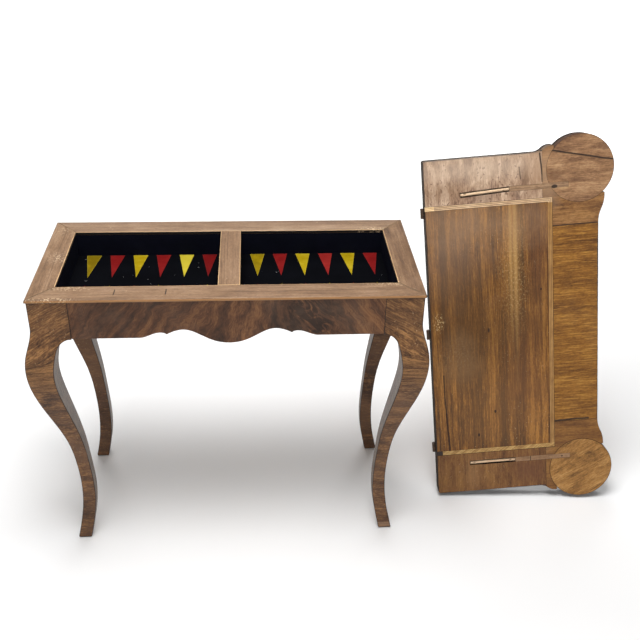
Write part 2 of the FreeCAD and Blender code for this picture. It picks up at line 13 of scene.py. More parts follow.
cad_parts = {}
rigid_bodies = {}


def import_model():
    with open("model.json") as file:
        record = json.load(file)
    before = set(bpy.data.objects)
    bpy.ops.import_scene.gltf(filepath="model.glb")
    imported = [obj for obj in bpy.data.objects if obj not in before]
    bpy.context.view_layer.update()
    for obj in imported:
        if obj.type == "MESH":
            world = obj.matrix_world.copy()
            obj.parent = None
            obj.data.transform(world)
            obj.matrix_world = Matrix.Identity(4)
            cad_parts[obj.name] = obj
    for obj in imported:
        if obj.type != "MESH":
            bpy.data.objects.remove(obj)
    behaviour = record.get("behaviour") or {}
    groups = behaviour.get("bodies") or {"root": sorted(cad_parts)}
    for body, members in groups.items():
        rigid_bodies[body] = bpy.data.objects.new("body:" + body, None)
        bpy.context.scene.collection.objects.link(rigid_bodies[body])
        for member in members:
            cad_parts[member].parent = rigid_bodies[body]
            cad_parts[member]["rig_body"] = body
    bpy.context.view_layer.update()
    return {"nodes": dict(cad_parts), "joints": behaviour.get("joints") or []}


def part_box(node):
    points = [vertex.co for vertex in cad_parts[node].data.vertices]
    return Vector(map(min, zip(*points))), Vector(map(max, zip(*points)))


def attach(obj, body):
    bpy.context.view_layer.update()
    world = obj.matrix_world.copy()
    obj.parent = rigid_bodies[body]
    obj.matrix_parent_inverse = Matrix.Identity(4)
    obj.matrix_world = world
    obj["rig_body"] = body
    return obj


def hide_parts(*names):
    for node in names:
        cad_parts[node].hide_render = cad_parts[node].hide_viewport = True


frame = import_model()
log = logging.getLogger("games_table")

# Games table: worn walnut, a lined backgammon base and a folding top that stands beside it.
# Metres throughout. X runs along the table, Y from its front to its back, Z up.

IMAGE_SIDE = 640
BYTE = 255.0
EASED = "eased"
FADE = "fade"
SIDES = ("left", "right")
Rgb = tuple[int, int, int]
Pair = tuple[float, float]
Triple = tuple[float, float, float]
Stops = list[tuple[float, Rgb]]

# Cells of noise in a metre of wood: along the grain, across it and through it.
SWAY_CELLS = (2.2, 9.0, 9.0)
BLOTCH_CELLS = (16.0, 42.0, 42.0)
GRIT_CELLS = (130.0, 260.0, 260.0)
HAIR_CELLS = (20.0, 290.0, 290.0)
PORE_CELLS = (1.0 / 0.012, 1.0 / 0.0009, 1.0 / 0.0009)
# Cells of noise in a metre along the piece's own axes.
CLOUD_CELLS = 7.0
CHIP_CELLS = (260.0, 180.0, 180.0)
PIT_CELLS = (170.0, 130.0, 170.0)
SCUFF_CELLS = (210.0, 150.0, 150.0)

# Shares of a wood's broad bands, streaks and fibres, and its veins' length and width in streaks.
BROAD_SHARE, STREAK_SHARE, FIBRE_SHARE = 0.46, 0.36, 0.18
VEIN_LENGTH, VEIN_WIDTH = 45.0, 0.55

# How far a face leans before it counts as an edge, half the blend between two sides, and a cut's depth.
EDGE_LEAN = (0.35, 0.7)
HALF_BLEND = 0.01
CUT_DEPTH = 2.0
SOOT = (34, 24, 18)

# Points this near are one, and faces this near to flat are one.
SEAM = 2e-6
FLAT = math.radians(0.2)


def linear(colour: Rgb) -> tuple[float, float, float, float]:
    """Turn a colour in screen values into the shader's linear values.

    Args:
        colour: red, green and blue from 0 to 255.

    Returns:
        Linear red, green, blue and an alpha of one.
    """
    shares = [value / BYTE for value in colour]
    return (*(s / 12.92 if s <= 0.04045 else ((s + 0.055) / 1.055) ** 2.4 for s in shares), 1.0)


def arithmetic(operation: str, turned: bool = False) -> Callable[..., "Signal"]:
    """Make an operator for signals.

    Args:
        operation: the Math node's operation.
        turned: whether the signal stands on the right.

    Returns:
        A method that adds one Math node.
    """
    def apply(self: "Signal", other: "Number" = 0.0) -> "Signal":
        """Add the Math node."""
        first, second = (other, self) if turned else (self, other)
        return self.graph.node("ShaderNodeMath", {"operation": operation}, {0: first, 1: second})
    return apply


class Signal:
    """A node's output that takes part in arithmetic; each operation adds one Math node."""

    __add__ = arithmetic("ADD")
    __radd__ = arithmetic("ADD", True)
    __sub__ = arithmetic("SUBTRACT")
    __rsub__ = arithmetic("SUBTRACT", True)
    __mul__ = arithmetic("MULTIPLY")
    __rmul__ = arithmetic("MULTIPLY", True)
    __truediv__ = arithmetic("DIVIDE")
    __rtruediv__ = arithmetic("DIVIDE", True)
    __abs__ = arithmetic("ABSOLUTE")
    root = arithmetic("SQRT")
    most = arithmetic("MAXIMUM")

    def __init__(self, graph: "Graph", socket: bpy.types.NodeSocket) -> None:
        """Keep the socket and the graph that owns it."""
        self.graph = graph
        self.socket = socket

    def rises(self, low: float, high: float) -> "Signal":
        """A smooth step.

        Args:
            low: the value where the step leaves zero.
            high: the value where it reaches one.

        Returns:
            The step, from zero to one.
        """
        inputs = {"Value": self, "From Min": low, "From Max": high}
        return self.graph.node("ShaderNodeMapRange", {"interpolation_type": "SMOOTHSTEP"}, inputs)

    def falls(self, low: float, high: float) -> "Signal":
        """A smooth step down, from one at low to zero at high."""
        return 1.0 - self.rises(low, high)


Number = Signal | float
Paint = Signal | Rgb


def distance(first: Signal, second: Signal) -> Signal:
    """How far a point is from where both values are zero."""
    return (first * first + second * second).root()


class Graph:
    """The nodes of one material or one geometry tree."""

    def __init__(self, tree: bpy.types.NodeTree) -> None:
        """Start with an empty tree."""
        self.tree = tree
        tree.nodes.clear()

    def node(self, kind: str, settings: dict | None = None, inputs: dict | None = None,
             output: int | str = 0) -> Signal:
        """Add a node.

        Args:
            kind: the node's type.
            settings: its own settings, such as an operation; stops are a colour ramp's.
            inputs: values or signals by socket name or number.
            output: which output to hand back.

        Returns:
            The chosen output.
        """
        made = self.tree.nodes.new(kind)
        for name, value in (settings or {}).items():
            if name == "stops":
                self._set_stops(made.color_ramp, value)
            else:
                setattr(made, name, value)
        for name, value in (inputs or {}).items():
            if isinstance(value, Signal):
                self.tree.links.new(value.socket, made.inputs[name])
            else:
                made.inputs[name].default_value = value
        return Signal(self, made.outputs[output] if len(made.outputs) else None)

    @staticmethod
    def _set_stops(ramp: bpy.types.ColorRamp, stops: Stops) -> None:
        """Give a colour ramp its stops.

        Args:
            ramp: the ramp.
            stops: places from zero to one, with their colours.
        """
        while len(ramp.elements) < len(stops):
            ramp.elements.new(1.0)
        for element, (place, colour) in zip(ramp.elements, stops):
            element.position = place
            element.color = linear(colour)


@dataclass(frozen=True)
class Turn:
    """Where a piece's own axes lie: its origin, and its turn from the table's axes."""

    origin: Triple = (0.0, 0.0, 0.0)
    angles: Triple = (0.0, 0.0, 0.0)


class Bench(Graph):
    """One material on the bench: its places and textures, and the surface's colour and relief so far."""

    colour: Paint
    tone: Signal
    cloud: Signal
    height: Signal | None = None

    def __init__(self, name: str, turn: Turn = Turn()) -> None:
        """Start a material whose coordinates are turned to suit a piece.

        Args:
            name: the material's name.
            turn: where the piece's own axes lie.
        """
        self.material = bpy.data.materials.new(name)
        self.material.use_nodes = True
        super().__init__(self.material.node_tree)
        where = self.node("ShaderNodeTexCoord", output="Object")
        facing = self.node("ShaderNodeTexCoord", output="Normal")
        self.place = self.mapped("TEXTURE", Vector=where, Location=turn.origin, Rotation=turn.angles)
        turned = self.mapped("TEXTURE", Vector=facing, Rotation=turn.angles)
        self.x, self.y, self.z = self.parts(self.place)
        self.facing_x, _, self.facing_z = self.parts(turned)

    def mapped(self, way: str, **inputs: Signal | Triple) -> Signal:
        """A vector through a Mapping node of the given type."""
        return self.node("ShaderNodeMapping", {"vector_type": way}, inputs)

    def parts(self, vector: Signal) -> tuple[Signal, Signal, Signal]:
        """The three parts of a vector."""
        split = self.node("ShaderNodeSeparateXYZ", inputs={0: vector}).socket.node
        return tuple(Signal(self, socket) for socket in split.outputs)

    def vector(self, x: Number, y: Number, z: Number) -> Signal:
        """A vector from three parts."""
        return self.node("ShaderNodeCombineXYZ", inputs={0: x, 1: y, 2: z})

    def kept(self, name: str) -> Signal:
        """A value that the mesh keeps under a name."""
        return self.node("ShaderNodeAttribute", {"attribute_name": name}, output="Fac")

    def noise(self, vector: Signal, cells: float | Triple, detail: float = 2.0, rough: float = 0.5,
              bend: float = 0.0, shift: Triple = (0.0, 0.0, 0.0)) -> Signal:
        """Soft noise, around one half.

        Args:
            vector: the coordinates it follows.
            cells: how many cells a metre holds, on all axes or on each.
            detail: how many finer layers it has.
            rough: how strong the finer layers are.
            bend: how far it is bent.
            shift: how far it is moved, in cells.

        Returns:
            The noise.
        """
        scale = cells if isinstance(cells, tuple) else (cells, cells, cells)
        place = self.mapped("POINT", Vector=vector, Scale=scale, Location=shift)
        return self.node("ShaderNodeTexNoise", inputs={
            "Vector": place, "Scale": 1.0, "Detail": detail, "Roughness": rough, "Distortion": bend})

    def ramp(self, value: Signal, stops: Stops) -> Signal:
        """Colours along a value."""
        return self.node("ShaderNodeValToRGB", {"stops": stops}, {0: value})

    def mix(self, first: Paint, second: Paint, share: Number) -> Signal:
        """Blend two colours.

        Args:
            first: the colour underneath.
            second: the colour on top.
            share: how much of the second shows.

        Returns:
            The blended colour.
        """
        ends = [end if isinstance(end, Signal) else linear(end) for end in (first, second)]
        return self.node("ShaderNodeMix", {"data_type": "RGBA"}, {0: share, 6: ends[0], 7: ends[1]}, output=2)

    def tint(self, paint: Paint, share: Number) -> None:
        """Blend a colour over the surface's own."""
        self.colour = self.mix(self.colour, paint, share)

    def along_line(self, start: Pair, end: Pair, width: float, sway: Number) -> Signal:
        """A mask of a thin line on the piece's own X and Y.

        Args:
            start: one end.
            end: the other end.
            width: how wide the line is in its middle.
            sway: how far the line wanders sideways.

        Returns:
            One on the line and zero off it.
        """
        run = (end[0] - start[0], end[1] - start[1])
        length = math.hypot(*run)
        way = (run[0] / length, run[1] / length)
        from_x = self.x - start[0]
        from_y = self.y - start[1]
        along = from_x * way[0] + from_y * way[1]
        aside = abs(from_y * way[0] - from_x * way[1] + sway)
        beyond = (abs(along - length / 2) - length / 2).most(0.0)
        return (aside + beyond).falls(width * 0.3, width * 0.75)

    def in_spot(self, centre: Pair, size: Pair, rough: Number, soft: float) -> Signal:
        """A mask of an oval on the piece's own X and Y.

        Args:
            centre: its middle.
            size: its half width and half height.
            rough: how far its edge wanders, as a share of its size.
            soft: how wide its edge is, as a share of its size.

        Returns:
            One inside and zero outside.
        """
        reach = distance((self.x - centre[0]) / size[0], (self.y - centre[1]) / size[1]) + rough
        return reach.falls(1.0 - soft, 1.0 + soft)

    def finish(self, roughness: Number, depth: float = 0.0004, **others: Number) -> bpy.types.Material:
        """Close the material with one surface shader.

        Args:
            roughness: how rough it is.
            depth: how deep the relief is.
            others: other sockets of the shader, by their names with underscores.

        Returns:
            The finished material.
        """
        paint = self.colour if isinstance(self.colour, Signal) else linear(self.colour)
        inputs = {"Base Color": paint, "Roughness": roughness}
        if self.height is not None:
            inputs["Normal"] = self.node("ShaderNodeBump", inputs={"Height": self.height, "Distance": depth})
        for name, value in others.items():
            inputs[name.replace("_", " ")] = value
        shader = self.node("ShaderNodeBsdfPrincipled", inputs=inputs)
        self.node("ShaderNodeOutputMaterial", inputs={"Surface": shader})
        return self.material


class Grain(Enum):
    """Which of the piece's own axes the grain follows."""

    X = 0
    Y = 1
    Z = 2


class SpotKind(Enum):
    """What an oval mark on a board is."""

    HOLE = "hole"
    SCUFF = "scuff"
    STAIN_AND_SHEEN = "stain_and_sheen"


@dataclass(frozen=True)
class DarkLine:
    """A dark line on a board's own X and Y."""

    start: Pair
    end: Pair
    width: float = 0.002
    colour: Rgb = SOOT
    share: float = 0.9
    wander: float = 2.5

    def lay(self, bench: Bench) -> None:
        """Add the line to the colour and the relief.

        Args:
            bench: the board's bench.
        """
        sway = (bench.cloud - 0.5) * (self.width * self.wander)
        mask = bench.along_line(self.start, self.end, self.width, sway)
        bench.tint(self.colour, mask * self.share)
        bench.height = bench.height - mask * CUT_DEPTH


@dataclass(frozen=True)
class Spot:
    """An oval mark on a board's own X and Y."""

    kind: SpotKind
    centre: Pair
    size: Pair
    colour: Rgb = SOOT
    share: float = 0.9
    wander: float = 2.4

    def lay(self, bench: Bench) -> None:
        """Add the spot to the colour, and a hole to the relief too.

        Args:
            bench: the board's bench.
        """
        sunk = self.kind is SpotKind.HOLE
        rough = (bench.cloud - 0.5) * self.wander
        mask = bench.in_spot(self.centre, self.size, rough, 0.2 if sunk else 0.85)
        if self.kind is SpotKind.SCUFF:
            mask = mask * bench.noise(bench.place, SCUFF_CELLS, 4.0, 0.75).rises(0.50, 0.64)
        bench.tint(self.colour, mask * self.share)
        if sunk:
            bench.height = bench.height - mask * CUT_DEPTH


hole = partial(Spot, SpotKind.HOLE)
scuff = partial(Spot, SpotKind.SCUFF)
stain_and_sheen = partial(Spot, SpotKind.STAIN_AND_SHEEN)


@dataclass(frozen=True)
class Wood:
    """A wood finish: colours from dark to pale, the widths of its streaks, and its polish."""

    name: str
    deep: Rgb
    body: Rgb
    pale: Rgb
    grain: Grain = Grain.X
    slope: float = 0.0
    broad: float = 0.040
    streak: float = 0.010
    fibre: float = 0.0018
    stretch: float = 16.0
    sway: float = 0.008
    contrast: float = 1.7
    mottle: float = 0.7
    grit: float = 0.45
    vein_share: float = 0.22
    hair_share: float = 0.0
    haze: Rgb = (170, 150, 130)
    haze_share: float = 0.12
    fleck: Rgb = (196, 166, 124)
    fleck_share: float = 0.0
    pits: float = 0.0
    edge: Rgb | None = None
    edge_dull: float = 0.0
    arris: Rgb | None = None
    arris_share: float = 0.8
    gloss: Pair = (0.38, 0.58)
    marks: tuple[DarkLine | Spot, ...] = ()
    ring: tuple[Pair, float] | None = None
    free_side: Pair | None = None
    seed: float = 0.0

    def guide(self, bench: Bench) -> Signal:
        """Lay the grain.

        Args:
            bench: the board's bench.

        Returns:
            The grain's own coordinates: along it, across it and through it.
        """
        axes = [bench.x, bench.y, bench.z]
        along = axes.pop(self.grain.value)
        across, through = axes
        if self.slope:
            cosine, sine = math.cos(self.slope), math.sin(self.slope)
            return bench.vector(along * cosine + across * sine, across * cosine - along * sine, through)
        return bench.vector(along, across, through)

    def build(self, turn: Turn = Turn()) -> bpy.types.Material:
        """Make the material.

        Args:
            turn: where the piece's own axes lie.

        Returns:
            The finished material.
        """
        bench = Bench(self.name, turn)
        noise = partial(bench.noise, shift=(self.seed, self.seed * 1.7, self.seed * 0.6))
        guide = self.guide(bench)
        along, across, through = bench.parts(guide)
        swayed = bench.vector(along, across + (noise(guide, SWAY_CELLS) - 0.5) * (2 * self.sway), through)
        broad, streak, fibre = (
            noise(swayed, (1.0 / (width * self.stretch), 1.0 / width, 1.0 / width), detail, 0.6)
            for width, detail in ((self.broad, 2.0), (self.streak, 3.0), (self.fibre, 2.0)))
        vein_cells = (1.0 / (self.streak * VEIN_LENGTH), 1.0 / (self.streak * VEIN_WIDTH), 1.0 / self.streak)
        veins = noise(swayed, vein_cells, 2.0, 0.55).rises(0.57, 0.70)
        tone = broad * BROAD_SHARE + streak * STREAK_SHARE + fibre * FIBRE_SHARE
        tone = (tone - 0.5) * self.contrast + 0.5 - veins * self.vein_share
        tone = tone + (noise(swayed, BLOTCH_CELLS, 5.0, 0.62, 0.4) - 0.5) * self.mottle
        tone = tone + (noise(swayed, GRIT_CELLS, 2.0, 0.6) - 0.5) * self.grit
        if self.hair_share:
            hairs = noise(swayed, HAIR_CELLS, 2.0, 0.6).rises(0.50, 0.66)
            tone = tone + (hairs - 0.3) * self.hair_share
        bench.tone = tone
        self.figure(bench)
        bench.colour = bench.ramp(bench.tone, [(0.18, self.deep), (0.5, self.body), (0.82, self.pale)])
        cloud = noise(bench.place, CLOUD_CELLS, 4.0, 0.62)
        bench.tint(self.haze, cloud.rises(0.46, 0.78) * self.haze_share)
        pores = noise(swayed, PORE_CELLS, 1.0).falls(0.30, 0.42)
        bench.tint(self.deep, pores * 0.55)
        if self.fleck_share:
            chips = noise(bench.place, CHIP_CELLS, 2.0, 0.6).rises(0.66, 0.72)
            bench.tint(self.fleck, chips * cloud.rises(0.42, 0.6) * self.fleck_share)
        if self.pits:
            dots = noise(bench.place, PIT_CELLS, 0.0).rises(0.72, 0.77)
            bench.tint(self.deep, dots * self.pits)
        bench.cloud = cloud
        bench.height = fibre * 0.5 + streak * 0.3 - pores * 0.6
        roughness = self.gloss[0] + streak * (self.gloss[1] - self.gloss[0]) + (cloud - 0.5) * 0.12
        if self.edge_dull:
            roughness = roughness + abs(bench.facing_z).falls(*EDGE_LEAN) * self.edge_dull
        self.trim(bench)
        if self.ring is not None:
            self.draw_ring(bench)
        for mark in self.marks:
            mark.lay(bench)
        return bench.finish(roughness, Specular_IOR_Level=0.3)

    def figure(self, bench: Bench) -> None:
        """Room for a figure in the bench's tone, over the plain grain; plain wood has none."""

    def trim(self, bench: Bench) -> None:
        """Colour the board's edges and wear its arrises.

        Args:
            bench: the board's bench.
        """
        if self.edge is not None:
            bench.colour = bench.mix(self.edge, bench.colour, abs(bench.facing_z).rises(*EDGE_LEAN))
        self.wear(bench)

    def wear(self, bench: Bench) -> None:
        """Colour the eased arrises paler or darker, where the finish has a colour for them."""
        if self.arris is not None:
            bench.tint(self.arris, bench.kept(EASED) * bench.cloud.rises(0.22, 0.50) * self.arris_share)

    def draw_ring(self, bench: Bench) -> None:
        """Draw a dark line round a disc's outline; where a shaded side is given, only that side's edge gets
        it, as a painted shade line.

        Args:
            bench: the board's bench.
        """
        (middle_x, middle_y), radius = self.ring
        off_x = bench.x - middle_x
        off_y = bench.y - middle_y
        line = abs(distance(off_x, off_y) - radius).falls(0.0008, 0.0022)
        # Painted shade: with a shaded side, the line keeps to the disc's edge that lies in shade.
        if self.free_side is not None:
            line = line * (off_x * self.free_side[0] + off_y * self.free_side[1]).rises(-0.02, 0.01)
        bench.tint(self.deep, line * 0.8)


@dataclass(frozen=True)
class LegWood(Wood):
    """Veneer on a leg: slanting figure on the knee, cross-laid grain below it, and grey inner sides painted
    over a sawn texture, a painted reflection of the pale surroundings.
    """

    middle_x: float = 0.0
    knee_height: float = 0.53
    knee_blend: float = 0.05
    slant: float = 0.48
    shank_slant: float = 0.06
    leg_steps: Pair = (3.1, 5.3)
    joint_level: float = 0.683
    joint_slant: float = 0.30
    contrast_share: float = 0.95
    ear_calm: float = 0.37
    knee_light: float = 0.18
    ear_dark: float = 0.11
    leg_dark: float = 0.05
    # How much painted shade darkens the back legs.
    back_shade: float = 0.21
    # Grey of the painted reflection on the legs' inner sides.
    inner_reflection: Rgb = (112, 107, 103)
    patch: Rgb = (150, 122, 98)
    patch_height: float = 0.020
    rubbed: Rgb = (112, 80, 56)

    def outward(self, bench: Bench) -> Signal:
        """How far a point lies from the base's middle, over the face it is on."""
        return abs(bench.x - self.middle_x) + abs(bench.y)

    def right(self, bench: Bench) -> Signal:
        """One on the right legs and zero on the left ones."""
        return bench.x.rises(self.middle_x - HALF_BLEND, self.middle_x + HALF_BLEND)

    def back(self, bench: Bench) -> Signal:
        """One on the back legs and zero on the front ones."""
        return bench.y.rises(-HALF_BLEND, HALF_BLEND)

    def guide(self, bench: Bench) -> Signal:
        """Let the grain fall outwards on the knee and lie level on the shank.

        Args:
            bench: the leg's bench.

        Returns:
            The grain's own coordinates, other ones on each leg.
        """
        out = self.outward(bench)
        high = bench.z.rises(self.knee_height - self.knee_blend, self.knee_height + self.knee_blend)
        across = bench.z + out * (high * self.slant + self.shank_slant)
        which = self.right(bench) * self.leg_steps[0] + self.back(bench) * self.leg_steps[1]
        return bench.vector(out, across, which)

    def figure(self, bench: Bench) -> None:
        """Calm the shank, lighten the knee, and darken the back legs with painted shade.

        Args:
            bench: the leg's bench.
        """
        knee = bench.z.rises(self.knee_height - 3 * self.knee_blend, self.knee_height + self.knee_blend)
        ear = bench.z.rises(self.knee_height, self.knee_height + 3 * self.knee_blend)
        tone = (bench.tone - 0.5) * (self.contrast_share - ear * self.ear_calm) + 0.5
        tone = tone + knee * self.knee_light - ear * self.ear_dark - self.leg_dark
        # Painted shade: the back legs stand in the base's shade, so their tone is lowered.
        bench.tone = tone - self.back(bench) * self.back_shade

    def trim(self, bench: Bench) -> None:
        """Draw the joint over the knee, paint the inner side grey as a painted reflection, and piece the
        front right foot.

        Args:
            bench: the leg's bench.
        """
        sloping = bench.z + self.outward(bench) * self.joint_slant
        joint = abs(sloping - self.joint_level + (bench.cloud - 0.5) * 0.004).falls(0.0006, 0.0022)
        right = self.right(bench)
        inner = (bench.facing_x * (1.0 - right * 2.0)).rises(0.45, 0.75)
        bench.tint(self.deep, joint * (1.0 - inner) * 0.4)
        shank = bench.z.falls(self.knee_height - 2 * self.knee_blend, self.knee_height + self.knee_blend)
        bench.tint(self.rubbed, shank * bench.cloud.rises(0.30, 0.62) * 0.55)
        foot = bench.z.falls(self.patch_height - 0.002, self.patch_height + 0.002)
        bench.tint(self.patch, foot * right * (1.0 - self.back(bench)) * 0.55)
        # Painted reflection: the inner sides get a sawn grey that stands for the pale surroundings seen in
        # them.
        sawn = bench.noise(bench.place, (260.0, 260.0, 14.0), 3.0, 0.6)
        inner_reflection = bench.ramp(sawn, [(0.2, self.deep), (0.5, self.inner_reflection), (0.85, self.patch)])
        bench.tint(inner_reflection, inner * 0.8)
        self.wear(bench)


@dataclass(frozen=True)
class RimWood(Wood):
    """Wood on a rim rail, whose sides towards the wells are painted near black."""

    middle_x: float = 0.0
    well: Pair = (0.4, 0.15)
    well_side_dark: Rgb = (16, 13, 14)

    def trim(self, bench: Bench) -> None:
        """Paint the sides that face a well near black.

        Args:
            bench: the rail's bench.
        """
        super().trim(bench)
        beyond = (abs(bench.x - self.middle_x) - self.well[0]).most(abs(bench.y) - self.well[1])
        bench.tint(self.well_side_dark, beyond.falls(0.0004, 0.0012) * abs(bench.facing_z).falls(0.35, 0.65))


@dataclass(frozen=True)
class FlameWood(Wood):
    """Flame-figured veneer on an apron: streaks that lean together towards a dark burl."""

    burl: Pair = (0.0, 0.0)
    burl_size: Pair = (0.062, 0.070)
    lean: float = 1.5
    lean_from: float = 0.42
    lean_to: float = 0.20
    upright: float = 0.42
    swirl: float = 0.085
    curl: float = 0.012
    burl_dark: float = 0.42
    wisp_light: float = 0.40
    ray_light: float = 0.22
    beyond_light: float = 0.08

    def guide(self, bench: Bench) -> Signal:
        """Lean steep grain towards the burl from both sides.

        Args:
            bench: the apron's bench.

        Returns:
            The grain's own coordinates.
        """
        side = bench.x.falls(self.burl[0] - self.lean_from, self.burl[0] + self.lean_to)
        lean = (side - self.upright) * self.lean
        swirl = bench.noise(bench.place, 8.0, 3.0, 0.6, 0.6) - 0.5
        curl = bench.noise(bench.place, 34.0) - 0.5
        across = bench.x - (bench.z - self.burl[1]) * lean + swirl * self.swirl + curl * self.curl
        return bench.vector(bench.z + bench.x * 0.3, across, bench.y)

    def figure(self, bench: Bench) -> None:
        """Darken the burl, let its edge curl, and fan pale rays out beyond it.

        Args:
            bench: the apron's bench.
        """
        off_x = (bench.x - self.burl[0]) / self.burl_size[0]
        off_z = (bench.z - self.burl[1]) / self.burl_size[1]
        curl = bench.noise(bench.place, 38.0, 4.0, 0.65)
        burl = (distance(off_x, off_z) + (curl - 0.5) * 1.6).falls(0.35, 1.25)
        slanted = bench.vector(bench.x + bench.z * 0.9, bench.y, bench.z * 0.35 - bench.x * 0.2)
        smoke = bench.noise(slanted, (24.0, 20.0, 30.0), 3.0, 0.55, 1.6, (2.0, 0.0, 0.0))
        wisps = abs(smoke - 0.5).falls(0.0, 0.07)
        beyond = bench.x.rises(self.burl[0] + 0.03, self.burl[0] + 0.12)
        fan = bench.vector(bench.x - (bench.z - self.burl[1]) * -0.75, bench.y, bench.z * 0.25)
        rays = bench.noise(fan, (95.0, 20.0, 20.0), 1.0, 0.4).rises(0.60, 0.72)
        darker = bench.tone - burl * (self.burl_dark - wisps * self.wisp_light)
        bench.tone = darker + beyond * (rays * self.ray_light + self.beyond_light)


@dataclass(frozen=True)
class Bead:
    """Pale reeded strips: the far one rubbed, the near one yellower with slanting streaks."""

    name: str
    near_end: float
    far_end: float
    breadth: float = 0.013
    blend: float = 0.0005
    pale_end: Pair = (0.0235, 0.025)
    gap_shade_end: Pair = (0.0165, 0.018)
    valley: Rgb = (62, 40, 22)
    pale_piece: Rgb = (232, 198, 146)
    gap_shade: Rgb = (42, 25, 16)

    def build(self, turn: Turn) -> bpy.types.Material:
        """Make the material.

        Args:
            turn: where the piece's own axes lie.

        Returns:
            The finished material.
        """
        bench = Bench(self.name, turn)
        near_side = self.near_end + self.breadth
        far_side = self.far_end - self.breadth
        near = bench.y.falls(near_side - self.blend, near_side + self.blend)
        far = bench.y.rises(far_side - self.blend, far_side + self.blend)
        fine = bench.noise(bench.place, (30.0, 30.0, 300.0), 4.0, 0.65)
        slanted = bench.vector(bench.x - bench.y * 1.4, bench.y, bench.z)
        slant = bench.noise(slanted, (170.0, 20.0, 20.0), 2.0, 0.6)
        reeded = bench.ramp(fine, [(0.3, (148, 105, 55)), (0.55, (174, 129, 72)), (0.8, (194, 151, 91))])
        rubbed = bench.ramp(fine, [(0.3, (182, 146, 108)), (0.55, (212, 178, 138)), (0.8, (230, 202, 164))])
        yellow = bench.ramp(slant, [(0.36, (158, 116, 62)), (0.5, (190, 150, 86)), (0.7, (212, 176, 112))])
        bench.colour = bench.mix(bench.mix(reeded, rubbed, far), yellow, near)
        bench.tint(self.valley, abs(bench.facing_z).falls(0.45, 0.92) * (0.62 - near * 0.17))
        bench.tint(self.pale_piece, bench.x.falls(*self.pale_end) * far * 0.85)
        # Painted shade: the near bead's end is darkened to show the shaded gap before the hinge.
        bench.tint(self.gap_shade, bench.x.falls(*self.gap_shade_end) * near)
        bench.height = fine
        return bench.finish(0.5, 0.0002)


@dataclass(frozen=True)
class Key:
    """Bare pale keys, darker on their sides and in the corners with painted shade, with a pin mark near each
    end.
    """

    name: str
    pins: tuple[Pair, ...]
    pin_size: Pair = (0.0034, 0.0020)
    pin: Rgb = (112, 80, 58)
    # Colour of the painted shade on the keys' sides and corners.
    corner: Rgb = (96, 64, 42)

    def build(self, turn: Turn) -> bpy.types.Material:
        """Make the material.

        Args:
            turn: where the piece's own axes lie.

        Returns:
            The finished material.
        """
        bench = Bench(self.name, turn)
        fine = bench.noise(bench.place, (60.0, 700.0, 700.0), 3.0, 0.6)
        crown = [(0.3, (192, 154, 116)), (0.55, (230, 198, 160)), (0.8, (246, 222, 192))]
        bench.colour = bench.ramp(fine, crown)
        # Painted shade: faces turned away from up, the keys' sides and corners, are darkened.
        bench.tint(self.corner, bench.facing_z.falls(0.1, 0.7) * 0.6)
        for place in self.pins:
            bench.tint(self.pin, bench.in_spot(place, self.pin_size, (fine - 0.5) * 0.8, 0.4) * 0.75)
        bench.height = fine
        return bench.finish(0.48, 0.0003)


@dataclass(frozen=True)
class Metal:
    """Old metal: one grit in its colour, its gloss and its relief."""

    name: str
    colours: Stops
    cells: float
    detail: float
    rough: float
    gloss: Pair
    depth: float
    metallic: float

    def build(self, turn: Turn = Turn()) -> bpy.types.Material:
        """Make the material.

        Args:
            turn: where the piece's own axes lie.

        Returns:
            The finished material.
        """
        bench = Bench(self.name, turn)
        grit = bench.noise(bench.place, self.cells, self.detail, self.rough)
        bench.colour = bench.ramp(grit, self.colours)
        bench.height = grit
        return bench.finish(self.gloss[0] + grit * self.gloss[1], self.depth, Metallic=self.metallic)


@dataclass(frozen=True)
class Felt:
    """Felt that is glued down: a fine nap, worn in places."""

    name: str
    deep: Rgb
    body: Rgb
    pale: Rgb
    nap_cells: float = 900.0
    worn_cells: float = 14.0
    stops: Triple = (0.3, 0.6, 0.8)
    dull: float = 0.95
    depth: float = 0.0005
    sheen: float = 0.03

    def build(self) -> bpy.types.Material:
        """Make the material.

        Returns:
            The finished material.
        """
        bench = Bench(self.name)
        nap = bench.noise(bench.place, self.nap_cells, 3.0, 0.7)
        worn = bench.noise(bench.place, self.worn_cells, 3.0, 0.6)
        stops = list(zip(self.stops, (self.deep, self.body, self.pale)))
        bench.colour = bench.ramp(self.tone(bench, nap, worn), stops)
        bench.height = nap
        self.trim(bench)
        return bench.finish(self.dull, self.depth, Specular_IOR_Level=self.sheen)

    def tone(self, bench: Bench, nap: Signal, worn: Signal) -> Signal:
        """The felt's tone, from dark to pale."""
        return nap * 0.6 + worn * 0.4

    def trim(self, bench: Bench) -> None:
        """Room for an edge of another colour; the lining has none."""


@dataclass(frozen=True)
class PointFelt(Felt):
    """Coloured felt of a cut point, each point faded in its own way and pale along the cut."""

    nap_cells: float = 700.0
    worn_cells: float = 38.0
    stops: Triple = (0.32, 0.5, 0.68)
    dull: float = 0.85
    depth: float = 0.0004
    sheen: float = 0.1

    def tone(self, bench: Bench, nap: Signal, worn: Signal) -> Signal:
        """The point's tone, with the share that it has faded by."""
        return worn * 0.35 + nap * 0.15 + bench.kept(FADE) + 0.25

    def trim(self, bench: Bench) -> None:
        """Show the pale cut edge."""
        bench.tint(self.pale, bench.kept(EASED) * 0.8)


def added(name: str, data: bpy.types.ID) -> bpy.types.Object:
    """Add an object to the scene.

    Args:
        name: its name.
        data: its mesh, light or camera.

    Returns:
        The object.
    """
    made = bpy.data.objects.new(name, data)
    bpy.context.scene.collection.objects.link(made)
    return made


